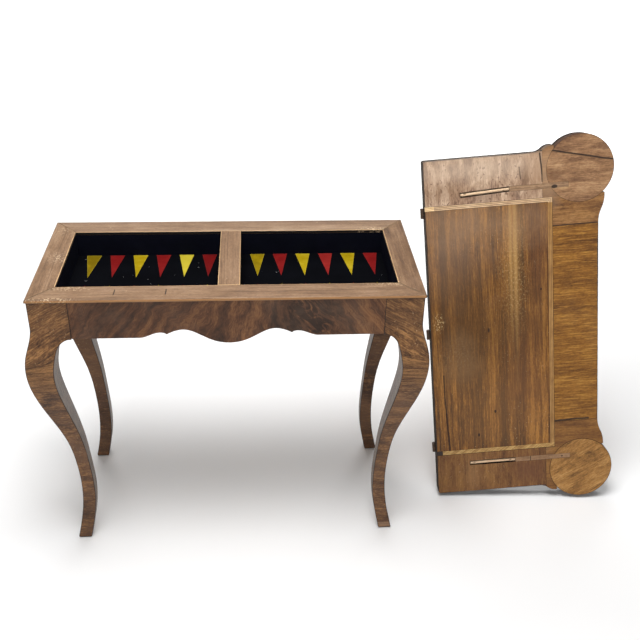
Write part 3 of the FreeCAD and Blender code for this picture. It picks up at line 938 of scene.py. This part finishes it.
def settle(piece: bpy.types.Object) -> None:
    """Turn a piece's modifiers into its plain mesh.

    Args:
        piece: the piece.
    """
    depsgraph = bpy.context.evaluated_depsgraph_get()
    mesh = bpy.data.meshes.new_from_object(
        piece.evaluated_get(depsgraph), preserve_all_data_layers=True, depsgraph=depsgraph)
    piece.modifiers.clear()
    piece.data = mesh


def stand_for(piece: bpy.types.Object, node: str) -> None:
    """Let a piece stand for a node: put it on the node's body and hide the node.

    Args:
        piece: the piece.
        node: the node's name.
    """
    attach(piece, frame["nodes"][node]["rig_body"])
    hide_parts(node)


def whole_faces(node: str) -> tuple[bpy.types.Mesh, bmesh.types.BMesh]:
    """Copy a node's mesh and join its triangles into whole faces.

    Args:
        node: the node's name.

    Returns:
        The copy, and the joined shape to write to it.
    """
    mesh = frame["nodes"][node].data.copy()
    shape = bmesh.new()
    shape.from_mesh(mesh)
    bmesh.ops.remove_doubles(shape, verts=shape.verts, dist=SEAM)
    bmesh.ops.dissolve_limit(shape, angle_limit=FLAT, verts=shape.verts, edges=shape.edges)
    return mesh, shape


@dataclass(frozen=True)
class Ease:
    """How sharp edges are eased: how far, the shortest edge that is, and the share above the foot."""

    width: float = 0.0008
    least: float = 0.0008
    share: float = 1.0
    foot: float = -1.0
    steps: int = 2
    sharp: float = math.radians(35.0)
    astray: float = math.radians(50.0)

    def joined(self, node: str) -> bpy.types.Mesh:
        """Copy a node's mesh in whole faces and mark the edges to ease.

        Args:
            node: the node's name.

        Returns:
            The copy.
        """
        mesh, shape = whole_faces(node)
        weight = shape.edges.layers.float.new("bevel_weight_edge")
        for edge in shape.edges:
            bent = len(edge.link_faces) == 2 and edge.calc_face_angle() > self.sharp
            if bent and edge.calc_length() >= self.least:
                low = max(vertex.co.z for vertex in edge.verts) < self.foot
                edge[weight] = 1.0 if low else self.share
        shape.to_mesh(mesh)
        shape.free()
        for name in ("custom_normal", "sharp_edge", "sharp_face"):
            if name in mesh.attributes:
                mesh.attributes.remove(mesh.attributes[name])
        mesh.polygons.foreach_set("use_smooth", [True] * len(mesh.polygons))
        mesh.set_sharp_from_angle(angle=self.sharp)
        return mesh

    def board(self, node: str, material: bpy.types.Material) -> None:
        """Make a board with eased edges that stands for a node and rides on its body.

        Args:
            node: the node's name.
            material: its finish.
        """
        piece = added(node + "_eased", self.joined(node))
        piece.data.materials.clear()
        piece.data.materials.append(material)
        piece.data.materials.append(material)
        bevel = piece.modifiers.new("eased", "BEVEL")
        bevel.limit_method = "WEIGHT"
        bevel.width = self.width
        bevel.segments = self.steps
        bevel.harden_normals = True
        bevel.use_clamp_overlap = False
        bevel.material = 1
        settle(piece)
        mesh = piece.data
        eased = mesh.attributes.new(EASED, "FLOAT", "CORNER")
        for face in mesh.polygons:
            for corner in face.loop_indices:
                eased.data[corner].value = float(face.material_index)
        mesh.polygons.foreach_set("material_index", [0] * len(mesh.polygons))
        mesh.materials.pop(index=1)
        self.straighten(mesh)
        stand_for(piece, node)

    def straighten(self, mesh: bpy.types.Mesh) -> None:
        """Give a corner its face's own normal where easing left it pointing far from that.

        Args:
            mesh: the eased mesh.
        """
        normals = [corner.vector.copy() for corner in mesh.corner_normals]
        for face in mesh.polygons:
            for corner in face.loop_indices:
                if normals[corner].dot(face.normal) < math.cos(self.astray):
                    normals[corner] = face.normal.copy()
        mesh.normals_split_custom_set(normals)


def dress(node: str, material: bpy.types.Material, ease: Ease | None = None) -> None:
    """Give a node of the construction its finish, and eased edges where asked.

    Args:
        node: the node's name.
        material: the finish.
        ease: how its edges are eased.
    """
    mesh = frame["nodes"][node].data
    mesh.materials.clear()
    mesh.materials.append(material)
    if ease is not None:
        ease.board(node, material)
    log.info("dressed %s with %s", node, material.name)


@dataclass
class Base:
    """The table's base: legs, aprons, rim and the boards inside."""

    burl_height: float = 0.685
    front_burl: float = 0.185
    back_burl: float = -0.11
    mitre_width: float = 0.0022
    rail_cracks: Pair = (-0.257, -0.141)
    low: Vector = field(init=False)
    high: Vector = field(init=False)
    middle_x: float = field(init=False)
    left_x: float = field(init=False)
    right_x: float = field(init=False)
    well_back: float = field(init=False)
    back: float = field(init=False)

    def __post_init__(self) -> None:
        """Take the base's middle and the wells' sides from the rim."""
        self.low, self.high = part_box("rim_front")
        self.middle_x = (self.low.x + self.high.x) / 2
        self.left_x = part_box("rim_left")[1].x
        self.right_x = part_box("rim_right")[0].x
        back_low, back_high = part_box("rim_back")
        self.well_back, self.back = back_low.y, back_high.y

    def legs(self) -> None:
        """Veneered legs."""
        wood = LegWood(
            "leg_walnut", (56, 34, 18), (110, 74, 43), (164, 118, 70), broad=0.034, streak=0.006, stretch=9.0,
            contrast=1.8, mottle=1.7, grit=1.1, vein_share=0.06, hair_share=0.28, haze=(132, 98, 66),
            haze_share=0.3, fleck=(188, 152, 110), fleck_share=0.9, arris=(40, 25, 16), seed=1.3,
            middle_x=self.middle_x)
        material = wood.build()
        for node in ("leg_front_left", "leg_front_right", "leg_back_left", "leg_back_right"):
            dress(node, material, Ease(0.005, 0.002, share=0.36, foot=0.001, steps=3))

    def aprons(self) -> None:
        """Flame-figured aprons, with plainer ones at the ends."""
        front = FlameWood(
            "apron_walnut", (43, 24, 11), (88, 55, 33), (133, 90, 55), broad=0.060, streak=0.022, fibre=0.004,
            stretch=7.0, sway=0.018, contrast=2.0, mottle=0.75, grit=0.4, vein_share=0.0, hair_share=0.10,
            haze=(104, 82, 66), haze_share=0.45, seed=2.4,
            burl=(self.middle_x + self.front_burl, self.burl_height))
        back = replace(front, name="apron_back_walnut", seed=22.0,
                       burl=(self.middle_x + self.back_burl, self.burl_height))
        end = Wood("apron_end_walnut", front.deep, front.body, front.pale, Grain.Z, broad=0.03, streak=0.008,
                   stretch=8.0, contrast=1.9, seed=23.0)
        eased = Ease(0.0010, 0.0015)
        dress("apron_front", front.build(), eased)
        dress("apron_back", back.build(), eased)
        material = end.build()
        for side in SIDES:
            dress("apron_" + side, material, eased)

    def rim(self) -> None:
        """Worn rim rails, with rubbed arrises and a few scuffs."""
        chip = (222, 196, 162)
        mitres = self.mitres()
        front = RimWood(
            "rim_walnut", (85, 61, 43), (132, 102, 75), (166, 138, 110), broad=0.030, streak=0.006,
            contrast=1.4, mottle=0.45, grit=0.3, haze=(156, 126, 102), haze_share=0.4, edge=(164, 118, 74),
            arris=(214, 176, 128), fleck=chip, fleck_share=0.35, seed=4.4, marks=mitres + self.rail_marks(),
            middle_x=self.middle_x, well=(self.right_x - self.middle_x, -self.high.y))
        back = replace(front, name="rim_back_walnut", deep=(87, 65, 49), body=(134, 106, 81),
                       pale=(168, 143, 118), seed=5.1)
        scuffs = (scuff((self.left_x - 0.016, 0.002), (0.024, 0.028), chip, 0.8),
                  scuff((self.left_x - 0.012, 0.165), (0.03, 0.022), chip, 0.55))
        left = replace(front, name="rim_end_walnut", grain=Grain.Y, seed=6.2, marks=mitres + scuffs)
        right = replace(left, name="rim_right_walnut", deep=(74, 52, 36), body=(116, 87, 62),
                        pale=(150, 120, 90), contrast=1.8, seed=31.0, marks=mitres)
        divider = replace(left, name="rim_divider_walnut", contrast=0.9, mottle=0.25, seed=8.8, marks=())
        rails = {"rim_front": front, "rim_back": back, "rim_left": left, "rim_right": right}
        for node, wood in rails.items():
            dress(node, wood.build(), Ease(0.0012, 0.004))
        dress("rim_divider", divider.build(), Ease(0.0010, 0.0015))

    def mitres(self) -> tuple[DarkLine, ...]:
        """Draw the dark joints at the rim's four corners.

        Returns:
            One line for each corner.
        """
        lines = []
        for outer_x, inner_x in ((self.low.x, self.left_x), (self.high.x, self.right_x)):
            for outer_y, inner_y in ((self.low.y, self.high.y), (self.back, self.well_back)):
                lines.append(DarkLine((outer_x, outer_y), (inner_x, inner_y), self.mitre_width, share=0.7))
        return tuple(lines)

    def rail_marks(self) -> tuple[DarkLine | Spot, ...]:
        """Draw short cracks and chips on the long rails.

        Returns:
            The marks.
        """
        chip = (226, 198, 160)
        rail_middle = (self.low.y + self.high.y) / 2
        across = [self.middle_x + place for place in self.rail_cracks]
        return (
            *(DarkLine((x, rail_middle - 0.010), (x, rail_middle + 0.014), 0.0022) for x in across),
            scuff((self.high.x - 0.07, self.high.y - 0.004), (0.06, 0.008), chip),
            scuff((self.low.x + 0.09, self.high.y - 0.006), (0.04, 0.010), chip),
            scuff((self.low.x + 0.04, self.low.y + 0.004), (0.05, 0.006), chip),
            scuff((self.high.x - 0.07, self.well_back + 0.006), (0.045, 0.009), chip),
        )

    def inside(self) -> None:
        """Bare softwood boards under the wells, and plain screws."""
        pine = Wood("inner_pine", (128, 98, 62), (168, 134, 92), (196, 164, 120), contrast=1.5,
                    haze=(120, 98, 74), haze_share=0.3, gloss=(0.65, 0.8), seed=25.0)
        material = pine.build()
        for node in ("well_wall_front", "well_wall_back", "well_wall_left", "well_wall_right",
                     "well_partition", "well_floor", "floor_cleat_left", "floor_cleat_right", "glue_blocks"):
            dress(node, material)
        colours = [(0.3, (70, 62, 56)), (0.6, (122, 114, 106))]
        steel = Metal("screw_steel", colours, 300.0, 3.0, 0.6, (0.4, 0.25), 0.0001, 0.85).build()
        for node in ("floor_screws", "hinge_screws_lower", "hinge_screws_upper"):
            dress(node, steel)

    def build(self) -> None:
        """Dress every piece of the base but the lining."""
        for stage in (self.legs, self.aprons, self.rim, self.inside):
            stage()


@dataclass
class Lining:
    """The felt in the wells, the points on it and the lint it gathers."""

    density: float = 180.0
    fibre_length: float = 0.005
    fibre_radius: float = 0.00022
    seed: int = 7
    hem: float = 0.0011
    yellow_fade: tuple[float, ...] = (-0.16, 0.0, 0.17, -0.10, 0.03, 0.02)
    red_fade: tuple[float, ...] = (0.0, 0.0, -0.12, 0.02, 0.15, 0.0)

    def points(self, node: str, material: bpy.types.Material, fades: tuple[float, ...]) -> None:
        """Lay the points of one colour, each with a pale cut edge.

        Args:
            node: the node of all points of that colour.
            material: their finish.
            fades: how faded each point of a row is, from left to right.
        """
        mesh, shape = whole_faces(node)
        tops = [face for face in shape.faces if face.normal.z > 0.9]
        middles = [face.calc_center_median() for face in tops]
        rows = [sorted(middle.x for middle in middles if middle.y * side > 0.0) for side in (-1.0, 1.0)]
        hems = bmesh.ops.inset_individual(shape, faces=tops, thickness=self.hem)["faces"]
        cut = shape.loops.layers.float.new(EASED)
        fade = shape.loops.layers.float.new(FADE)
        for face in shape.faces:
            middle = face.calc_center_median()
            row = rows[int(middle.y > 0.0)]
            place = min(range(len(row)), key=lambda index: abs(row[index] - middle.x))
            for corner in face.loops:
                corner[fade] = fades[place % len(fades)]
        for face in hems:
            for corner in face.loops:
                corner[cut] = 1.0
        shape.to_mesh(mesh)
        shape.free()
        mesh.materials.clear()
        mesh.materials.append(material)
        stand_for(added(node + "_cut", mesh), node)
        log.info("laid %s with %s", node, material.name)

    def sizes(self) -> dict[str, float]:
        """The scatter tree's sizes, by the names of its inputs."""
        return {"Density": self.density, "Length": self.fibre_length, "Radius": self.fibre_radius}

    def scatter(self) -> bpy.types.NodeTree:
        """Make a tree that strews short fibres over the faces it is given.

        Returns:
            The tree.
        """
        tree = bpy.data.node_groups.new("lint_scatter", "GeometryNodeTree")
        face = tree.interface
        face.new_socket("Geometry", in_out="INPUT", socket_type="NodeSocketGeometry")
        for name, value in self.sizes().items():
            face.new_socket(name, in_out="INPUT", socket_type="NodeSocketFloat").default_value = value
        face.new_socket("Seed", in_out="INPUT", socket_type="NodeSocketInt").default_value = self.seed
        face.new_socket("Fibre", in_out="INPUT", socket_type="NodeSocketMaterial")
        face.new_socket("Geometry", in_out="OUTPUT", socket_type="NodeSocketGeometry")
        graph = Graph(tree)
        sockets = graph.node("NodeGroupInput").socket.node.outputs
        given = {socket.name: Signal(graph, socket) for socket in sockets}
        length, radius, seed = given["Length"], given["Radius"], given["Seed"]
        spots = graph.node("GeometryNodeDistributePointsOnFaces", inputs={
            "Mesh": given["Geometry"], "Density": given["Density"], "Seed": seed})
        reach = graph.node("ShaderNodeCombineXYZ", inputs={0: length})
        bow = graph.node("ShaderNodeCombineXYZ", inputs={0: length * 0.5, 1: length * 0.35, 2: radius * 2.0})
        thread = graph.node("GeometryNodeCurveQuadraticBezier", inputs={
            "Resolution": 5, "Start": (0.0, 0.0, 0.0), "Middle": bow, "End": reach})
        ring = graph.node("GeometryNodeCurvePrimitiveCircle", inputs={"Resolution": 5, "Radius": radius})
        fibre = graph.node("GeometryNodeCurveToMesh", inputs={
            "Curve": thread, "Profile Curve": ring, "Fill Caps": True})
        turn = graph.node("FunctionNodeRandomValue", {"data_type": "FLOAT_VECTOR"},
                          {"Max": (0.0, 0.0, 2 * math.pi), "Seed": seed})
        size = graph.node("FunctionNodeRandomValue", {"data_type": "FLOAT"},
                          {2: 0.35, 3: 1.0, "Seed": seed}, output=1)
        strewn = graph.node("GeometryNodeInstanceOnPoints", inputs={
            "Points": spots, "Instance": fibre, "Rotation": turn, "Scale": size})
        whole = graph.node("GeometryNodeRealizeInstances", inputs={"Geometry": strewn})
        dressed = graph.node("GeometryNodeSetMaterial", inputs={
            "Geometry": whole, "Material": given["Fibre"]})
        graph.node("NodeGroupOutput", inputs={"Geometry": dressed})
        return tree

    def lint(self) -> None:
        """Strew lint over both felt floors."""
        mesh = bpy.data.meshes.new("well_lint")
        shape = bmesh.new()
        for side in SIDES:
            low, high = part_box("felt_floor_" + side)
            left, right = low.x + self.fibre_length, high.x - self.fibre_length
            front, back = low.y + self.fibre_length, high.y - self.fibre_length
            level = high.z + self.fibre_radius
            corners = ((left, front), (right, front), (right, back), (left, back))
            shape.faces.new([shape.verts.new((x, y, level)) for x, y in corners])
        shape.to_mesh(mesh)
        shape.free()
        piece = added("well_lint", mesh)
        bench = Bench("lint_fibre")
        colours = [(0.3, (120, 122, 130)), (0.7, (214, 212, 206))]
        bench.colour = bench.ramp(bench.noise(bench.place, 90.0), colours)
        fibre = bench.finish(0.9)
        tree = self.scatter()
        strew = piece.modifiers.new("lint", "NODES")
        strew.node_group = tree
        sockets = {item.name: item.identifier for item in tree.interface.items_tree if item.in_out == "INPUT"}
        for name, value in {**self.sizes(), "Seed": self.seed, "Fibre": fibre}.items():
            strew[sockets[name]] = value
        settle(piece)
        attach(piece, "base")
        log.info("strewed %d faces of lint", len(piece.data.polygons))

    def build(self) -> None:
        """Dress the lining."""
        self.lint()
        floor = Felt("well_felt", (3, 3, 5), (7, 8, 12), (15, 16, 24)).build()
        # The wall felt is a paler, bluer copy of the floor felt: a painted sheen on the walls.
        wall = Felt("well_wall_sheen_felt", (8, 9, 16), (17, 19, 31), (29, 33, 50)).build()
        for side in SIDES:
            dress("felt_floor_" + side, floor)
            dress("felt_walls_" + side, wall)
        yellow = PointFelt("yellow_points", (107, 88, 1), (151, 128, 3), (177, 161, 46))
        self.points("points_yellow", yellow.build(), self.yellow_fade)
        red = PointFelt("red_points", (89, 5, 7), (111, 12, 13), (130, 31, 27))
        self.points("points_red", red.build(), self.red_fade)


@dataclass
class Top:
    """The folded top: where it stands, and its boards, beads, keys and hinges."""

    lean: float = math.radians(15.0)
    yaw: float = math.radians(-3.5)
    end_border: float = 0.116
    edge_line: float = 0.003
    pin_inset: Pair = (0.011, 0.014)
    board_ease: float = 0.0006
    axes: Matrix = field(init=False)
    origin: Vector = field(init=False)
    turn: Turn = field(init=False)
    width: float = field(init=False)
    length: float = field(init=False)

    def __post_init__(self) -> None:
        """Work out the leaf's own axes from the fold joint and the way the top leans."""
        fold = next(joint for joint in frame["joints"] if joint["name"] == "leaf_fold")
        up = Vector(fold["axis"]).normalized()
        side = Vector((math.cos(self.lean) * math.sin(self.yaw),
                       -math.cos(self.lean) * math.cos(self.yaw), math.sin(self.lean)))
        across = up.cross(side).normalized()
        self.axes = Matrix((across, up, across.cross(up))).transposed()
        self.origin = Vector((0.0, 0.0, 0.0))
        panel_low, panel_high = self.span("lower_leaf_panel")
        border_end = self.span("lower_leaf_right_border")[1].y
        self.origin = self.axes @ Vector((panel_low.x, border_end - self.end_border, panel_high.z))
        self.turn = Turn(tuple(self.origin), tuple(self.axes.to_euler("XYZ")))
        self.width = self.span("lower_leaf_front_border")[1].x
        self.length = self.span("lower_leaf_left_border")[1].y

    def span(self, node: str) -> tuple[Vector, Vector]:
        """Find a node's lowest and highest corners on the leaf's own axes.

        Args:
            node: the node's name.

        Returns:
            The two corners.
        """
        back = self.axes.transposed()
        points = [back @ (vertex.co - self.origin) for vertex in frame["nodes"][node].data.vertices]
        low, high = ([pick(point[axis] for point in points) for axis in range(3)] for pick in (min, max))
        return Vector(low), Vector(high)

    def disc_ring(self, node: str) -> tuple[Pair, float]:
        """The middle and radius of a round corner."""
        low, high = self.span(node)
        return ((low.x + high.x) / 2, (low.y + high.y) / 2), (high.x - low.x) / 2

    def boards(self) -> dict[str, Wood]:
        """Choose the finishes of the lower leaf's boards.

        Returns:
            The finishes, by the end of the boards' names.
        """
        leaf = partial(Wood, edge=(34, 23, 15), arris=(38, 26, 18), arris_share=0.7, edge_dull=0.4)
        # Dark lines along the leaf's outline.
        line = partial(DarkLine, width=self.edge_line, colour=(44, 33, 26))
        hinge_side = line((0.0, 0.0), (0.0, self.length))
        front_side = line((self.width, 0.0), (self.width, self.length))
        near_end = line((0.0, 0.0), (self.width, 0.0))
        far_end = line((0.0, self.length), (self.width, self.length))
        far_split = DarkLine((0.299, 0.931), (0.305, 0.858), 0.0035)
        far_joint = DarkLine((0.326, 0.741), (self.width, 0.741), 0.0025)
        panel_marks = (
            stain_and_sheen((0.225, 0.66), (0.018, 0.23), (178, 134, 76), 0.30),
            stain_and_sheen((0.219, 0.68), (0.0035, 0.20), (196, 152, 88), 0.55),
            stain_and_sheen((0.2315, 0.64), (0.0045, 0.22), (200, 156, 92), 0.60),
            stain_and_sheen((0.060, 0.71), (0.09, 0.11), (150, 122, 100), 0.45),
            stain_and_sheen((0.290, 0.64), (0.024, 0.18), (88, 54, 32), 0.62),
            stain_and_sheen((0.130, 0.76), (0.15, 0.06), (160, 128, 98), 0.45),
            stain_and_sheen((0.110, 0.52), (0.09, 0.13), (78, 50, 18), 0.35),
            stain_and_sheen((0.170, 0.47), (0.19, 0.14), (92, 58, 10), 0.45),
            stain_and_sheen((0.160, 0.24), (0.16, 0.12), (152, 110, 66), 0.3),
            stain_and_sheen((0.075, 0.385), (0.05, 0.06), (150, 118, 82), 0.2),
            stain_and_sheen((0.250, 0.33), (0.05, 0.16), (112, 70, 40), 0.35),
            scuff((0.022, 0.500), (0.010, 0.018), (232, 200, 140)),
            scuff((0.226, 0.60), (0.030, 0.13), (206, 172, 116), 0.4),
            scuff((0.060, 0.405), (0.045, 0.035), (168, 138, 102), 0.2),
            DarkLine((0.029, 0.352), (0.0315, 0.240), 0.0030),
            DarkLine((0.0315, 0.240), (0.038, 0.129), 0.0044, (38, 18, 8)),
            hole((0.156, 0.471), (0.0025, 0.007)),
            hole((0.167, 0.236), (0.0025, 0.004)),
            hole((0.120, 0.169), (0.0022, 0.004)),
            hole((0.298, 0.574), (0.002, 0.003)),
            hinge_side,
        )
        far_border_marks = (
            # The first pale band across the far end is a painted highlight, the sheen there; the other ovals
            # are stains.
            stain_and_sheen((0.14, 0.905), (0.17, 0.030), (206, 184, 162), 0.45),
            stain_and_sheen((0.05, 0.85), (0.05, 0.022), (120, 90, 64), 0.4),
            stain_and_sheen((0.300, 0.875), (0.035, 0.070), (164, 130, 100), 0.6),
            far_split,
            DarkLine((0.246, 0.900), (0.249, 0.870), 0.0025, share=0.6),
            stain_and_sheen((0.262, 0.862), (0.006, 0.03), (104, 76, 54), 0.5),
            hinge_side, far_end,
        )
        near_border_marks = (
            stain_and_sheen((0.262, 0.052), (0.035, 0.04), (96, 58, 38), 0.55),
            stain_and_sheen((0.100, 0.05), (0.02, 0.06), (162, 122, 78), 0.4),
            hinge_side, near_end,
        )
        far_corner_marks = (
            far_split, far_joint,
            stain_and_sheen((0.314, 0.842), (0.030, 0.050), (150, 120, 92), 0.5),
            stain_and_sheen((0.318, 0.900), (0.022, 0.050), (172, 138, 106), 0.55),
        )
        far_disc_marks = (
            DarkLine((0.330, 0.934), (0.484, 0.901), 0.004),
            hole((0.336, 0.842), (0.007, 0.0035)),
            stain_and_sheen((0.360, 0.842), (0.014, 0.006), (198, 160, 112), 0.75),
            stain_and_sheen((0.335, 0.872), (0.022, 0.012), (88, 56, 36), 0.5),
        )
        return {
            "panel": leaf(
                "panel_walnut", (58, 32, 7), (121, 76, 27), (174, 119, 51), Grain.Y, broad=0.030,
                streak=0.008, stretch=28.0, contrast=3.0, mottle=0.4, vein_share=0.14, hair_share=0.26,
                haze=(140, 106, 70), haze_share=0.25, fleck_share=0.6, seed=3.1, marks=panel_marks),
            "front_border": leaf(
                "front_border_walnut", (85, 50, 12), (140, 92, 31), (177, 128, 56), streak=0.009,
                contrast=1.5, mottle=0.5, vein_share=0.05, hair_share=0.30, haze=(146, 106, 62),
                haze_share=0.3, seed=5.3,
                marks=(DarkLine((0.330, 0.1935), (0.424, 0.1935), 0.0045), far_joint, front_side)),
            "left_border": leaf(
                "far_border_walnut", (110, 80, 63), (167, 135, 108), (208, 179, 152), Grain.Y, broad=0.034,
                streak=0.012, contrast=1.2, mottle=1.5, vein_share=0.03, hair_share=0.12, pits=0.8,
                haze=(198, 174, 150), haze_share=0.5, fleck_share=0.4, seed=7.7, marks=far_border_marks),
            "right_border": leaf(
                "near_border_walnut", (78, 47, 22), (122, 81, 42), (148, 106, 55), Grain.Y, broad=0.034,
                streak=0.009, contrast=1.5, vein_share=0.08, hair_share=0.18, haze=(130, 92, 58),
                haze_share=0.25, fleck_share=0.4, seed=9.2, marks=near_border_marks),
            "left_corner": leaf(
                "far_corner_walnut", (67, 37, 18), (129, 88, 47), (165, 121, 71), contrast=1.5, mottle=1.1,
                vein_share=0.06, hair_share=0.15, haze=(150, 112, 78), haze_share=0.3, seed=11.4,
                marks=far_corner_marks),
            "left_disc": leaf(
                "far_disc_walnut", (78, 51, 36), (143, 105, 72), (182, 144, 105), streak=0.012, contrast=1.2,
                mottle=0.9, vein_share=0.05, hair_share=0.15, haze=(150, 112, 80), haze_share=0.3, seed=13.9,
                # The far disc's dark line runs only round its outer edge in shade: painted shade.
                ring=self.disc_ring("lower_leaf_left_disc"), free_side=(0.6, 0.8), marks=far_disc_marks),
            "right_corner": leaf(
                "near_corner_walnut", (84, 51, 22), (125, 82, 37), (156, 111, 53), broad=0.03, streak=0.008,
                contrast=1.6, vein_share=0.08, seed=15.5,
                marks=(DarkLine((0.330, 0.1915), (0.424, 0.1915), 0.0025),)),
            "right_disc": leaf(
                "near_disc_walnut", (74, 46, 16), (160, 113, 57), (201, 154, 91), slope=0.5, streak=0.014,
                stretch=5.0, sway=0.03, contrast=1.0, vein_share=0.02, hair_share=0.14, haze=(160, 120, 74),
                haze_share=0.25, seed=17.3, ring=self.disc_ring("lower_leaf_right_disc"),
                marks=(stain_and_sheen((0.350, 0.088), (0.03, 0.012), (112, 76, 44), 0.4),)),
        }

    def leaves(self) -> None:
        """Dress the boards of both leaves, the upper one's without marks."""
        boards = self.boards()
        for short, wood in boards.items():
            eased = Ease(self.board_ease, 0.010) if short == "panel" else Ease(self.board_ease)
            dress("lower_leaf_" + short, wood.build(self.turn), eased)
            plain = boards[short.replace("left", "right")]
            spare = replace(plain, name="upper_" + short + "_walnut", contrast=plain.contrast * 0.75,
                            marks=(), ring=None, seed=wood.seed + 40.0)
            dress("upper_leaf_" + short, spare.build(self.turn), eased)

    def fittings(self) -> None:
        """Dress the strips in the old slot ends, the keys, the beads and the hinges."""
        near = Wood("infill_wood", (108, 75, 50), (144, 110, 79), (170, 135, 102), broad=0.02, streak=0.006,
                    contrast=1.4, seed=19.0,
                    marks=(DarkLine((0.262, 0.07), (0.262, 0.10)), hole((0.350, 0.086), (0.0022, 0.0022))))
        far = replace(near, name="far_infill_wood", deep=(112, 84, 60), body=(150, 118, 88),
                      pale=(180, 148, 116), seed=21.0, marks=(hole((0.336, 0.843), (0.007, 0.004)),))
        strips = {"right": near.build(self.turn), "left": far.build(self.turn)}
        pins = []
        for side in SIDES:
            low, high = self.span("guide_key_" + side)
            middle = (low.y + high.y) / 2
            pins += [(low.x + self.pin_inset[0], middle), (high.x - self.pin_inset[1], middle)]
        key = Key("pale_key", tuple(pins)).build(self.turn)
        for side in SIDES:
            dress("slot_infill_" + side, strips[side], Ease(0.0004, 0.004))
            dress("guide_key_" + side, key, Ease(0.0005, 0.001))
        low, high = self.span("panel_beads")
        dress("panel_beads", Bead("pale_bead", low.y, high.y).build(self.turn))
        colours = [(0.3, (52, 42, 36)), (0.55, (86, 70, 58)), (0.75, (126, 90, 64))]
        iron = Metal("hinge_iron", colours, 240.0, 4.0, 0.65, (0.5, 0.2), 0.0003, 0.4).build(self.turn)
        for node in ("hinge_plates_lower", "hinge_plates_upper", "hinge_pins"):
            dress(node, iron)

    def build(self) -> None:
        """Dress every piece of the top."""
        self.leaves()
        self.fittings()


@dataclass(frozen=True)
class Lamp:
    """A large soft lamp: where it hangs, what it faces, its side, its watts and its spread in degrees."""

    name: str
    place: Triple
    aim: Triple
    size: float
    power: float
    spread: float = 180.0

    def hang(self) -> None:
        """Add the lamp to the scene."""
        data = bpy.data.lights.new(self.name, "AREA")
        data.size = self.size
        data.energy = self.power
        data.spread = math.radians(self.spread)
        lamp = added(self.name, data)
        lamp.location = self.place
        lamp.rotation_euler = (Vector(self.aim) - Vector(self.place)).to_track_quat("-Z", "Y").to_euler()


@dataclass
class Studio:
    """A pale floor, soft light and the camera."""

    focal_pixels: float = 890.9
    stand: Triple = (-0.2306, -1.9465, 1.723)
    pitch: float = 0.5408
    yaw: float = -0.0825
    roll: float = -0.0266
    floor_side: float = 60.0
    floor_colour: Rgb = (248, 248, 248)
    glow_from: float = 2.2
    glow_to: float = 4.8
    glow: Rgb = (238, 238, 238)
    world_strength: float = 0.12
    horizon_strength: float = 0.84
    horizon_height: float = 0.42
    lamps: tuple[Lamp, ...] = (
        Lamp("overhead_lamp", (-0.35, -0.40, 3.2), (-0.2, -0.05, 0.0), 1.6, 99.0),
        Lamp("back_lamp", (0.0, 6.0, 5.5), (0.0, 5.8, 0.0), 5.0, 340.0, 100.0),
        Lamp("front_lamp", (-0.4, -4.2, 2.2), (0.0, 0.0, 0.4), 3.0, 26.0),
    )

    def camera(self) -> None:
        """Set the camera at the photograph's viewing angle."""
        data = bpy.data.cameras.new("camera")
        data.lens = data.sensor_width * self.focal_pixels / IMAGE_SIDE
        level_right = Vector((math.cos(self.yaw), math.sin(self.yaw), 0.0))
        level_ahead = Vector((-math.sin(self.yaw), math.cos(self.yaw), 0.0))
        rise = Vector((0.0, 0.0, 1.0))
        ahead = level_ahead * math.cos(self.pitch) - rise * math.sin(self.pitch)
        level_up = level_ahead * math.sin(self.pitch) + rise * math.cos(self.pitch)
        right = level_right * math.cos(self.roll) - level_up * math.sin(self.roll)
        up = level_right * math.sin(self.roll) + level_up * math.cos(self.roll)
        turn = Matrix((right, up, -ahead)).transposed().to_4x4()
        seat = added("camera", data)
        seat.matrix_world = Matrix.Translation(Vector(self.stand)) @ turn
        bpy.context.scene.camera = seat

    def surround(self) -> None:
        """Surround the scene with dim light that turns pale towards the horizon."""
        world = bpy.data.worlds.new("studio")
        world.use_nodes = True
        graph = Graph(world.node_tree)
        way = graph.node("ShaderNodeTexCoord", output="Generated")
        rise = graph.node("ShaderNodeSeparateXYZ", inputs={0: way}, output=2)
        strength = abs(rise).falls(0.0, self.horizon_height) * self.horizon_strength + self.world_strength
        white = linear((255, 255, 255))
        light = graph.node("ShaderNodeBackground", inputs={"Color": white, "Strength": strength})
        graph.node("ShaderNodeOutputWorld", inputs={"Surface": light})
        bpy.context.scene.world = world

    def floor(self) -> None:
        """Lay a wide floor that glows pale far from the table."""
        mesh = bpy.data.meshes.new("floor")
        shape = bmesh.new()
        bmesh.ops.create_grid(shape, x_segments=1, y_segments=1, size=self.floor_side / 2)
        shape.to_mesh(mesh)
        shape.free()
        bench = Bench("pale_floor")
        far = distance(bench.x, bench.y).rises(self.glow_from, self.glow_to)
        glow = bench.mix((0, 0, 0), self.glow, far)
        bench.colour = self.floor_colour
        material = bench.finish(0.9, Specular_IOR_Level=0.1, Emission_Color=glow, Emission_Strength=1.0)
        mesh.materials.append(material)
        added("floor", mesh)

    def build(self) -> None:
        """Make the floor, the light and the camera."""
        self.floor()
        self.surround()
        bpy.context.scene.view_settings.view_transform = "Standard"
        for lamp in self.lamps:
            lamp.hang()
        self.camera()


def main() -> None:
    """Build the sub-assemblies in order, then the studio."""
    logging.basicConfig(level=logging.INFO, format="%(name)s: %(message)s")
    for part in (Base(), Lining(), Top(), Studio()):
        part.build()


if __name__ == "__main__":
    main()
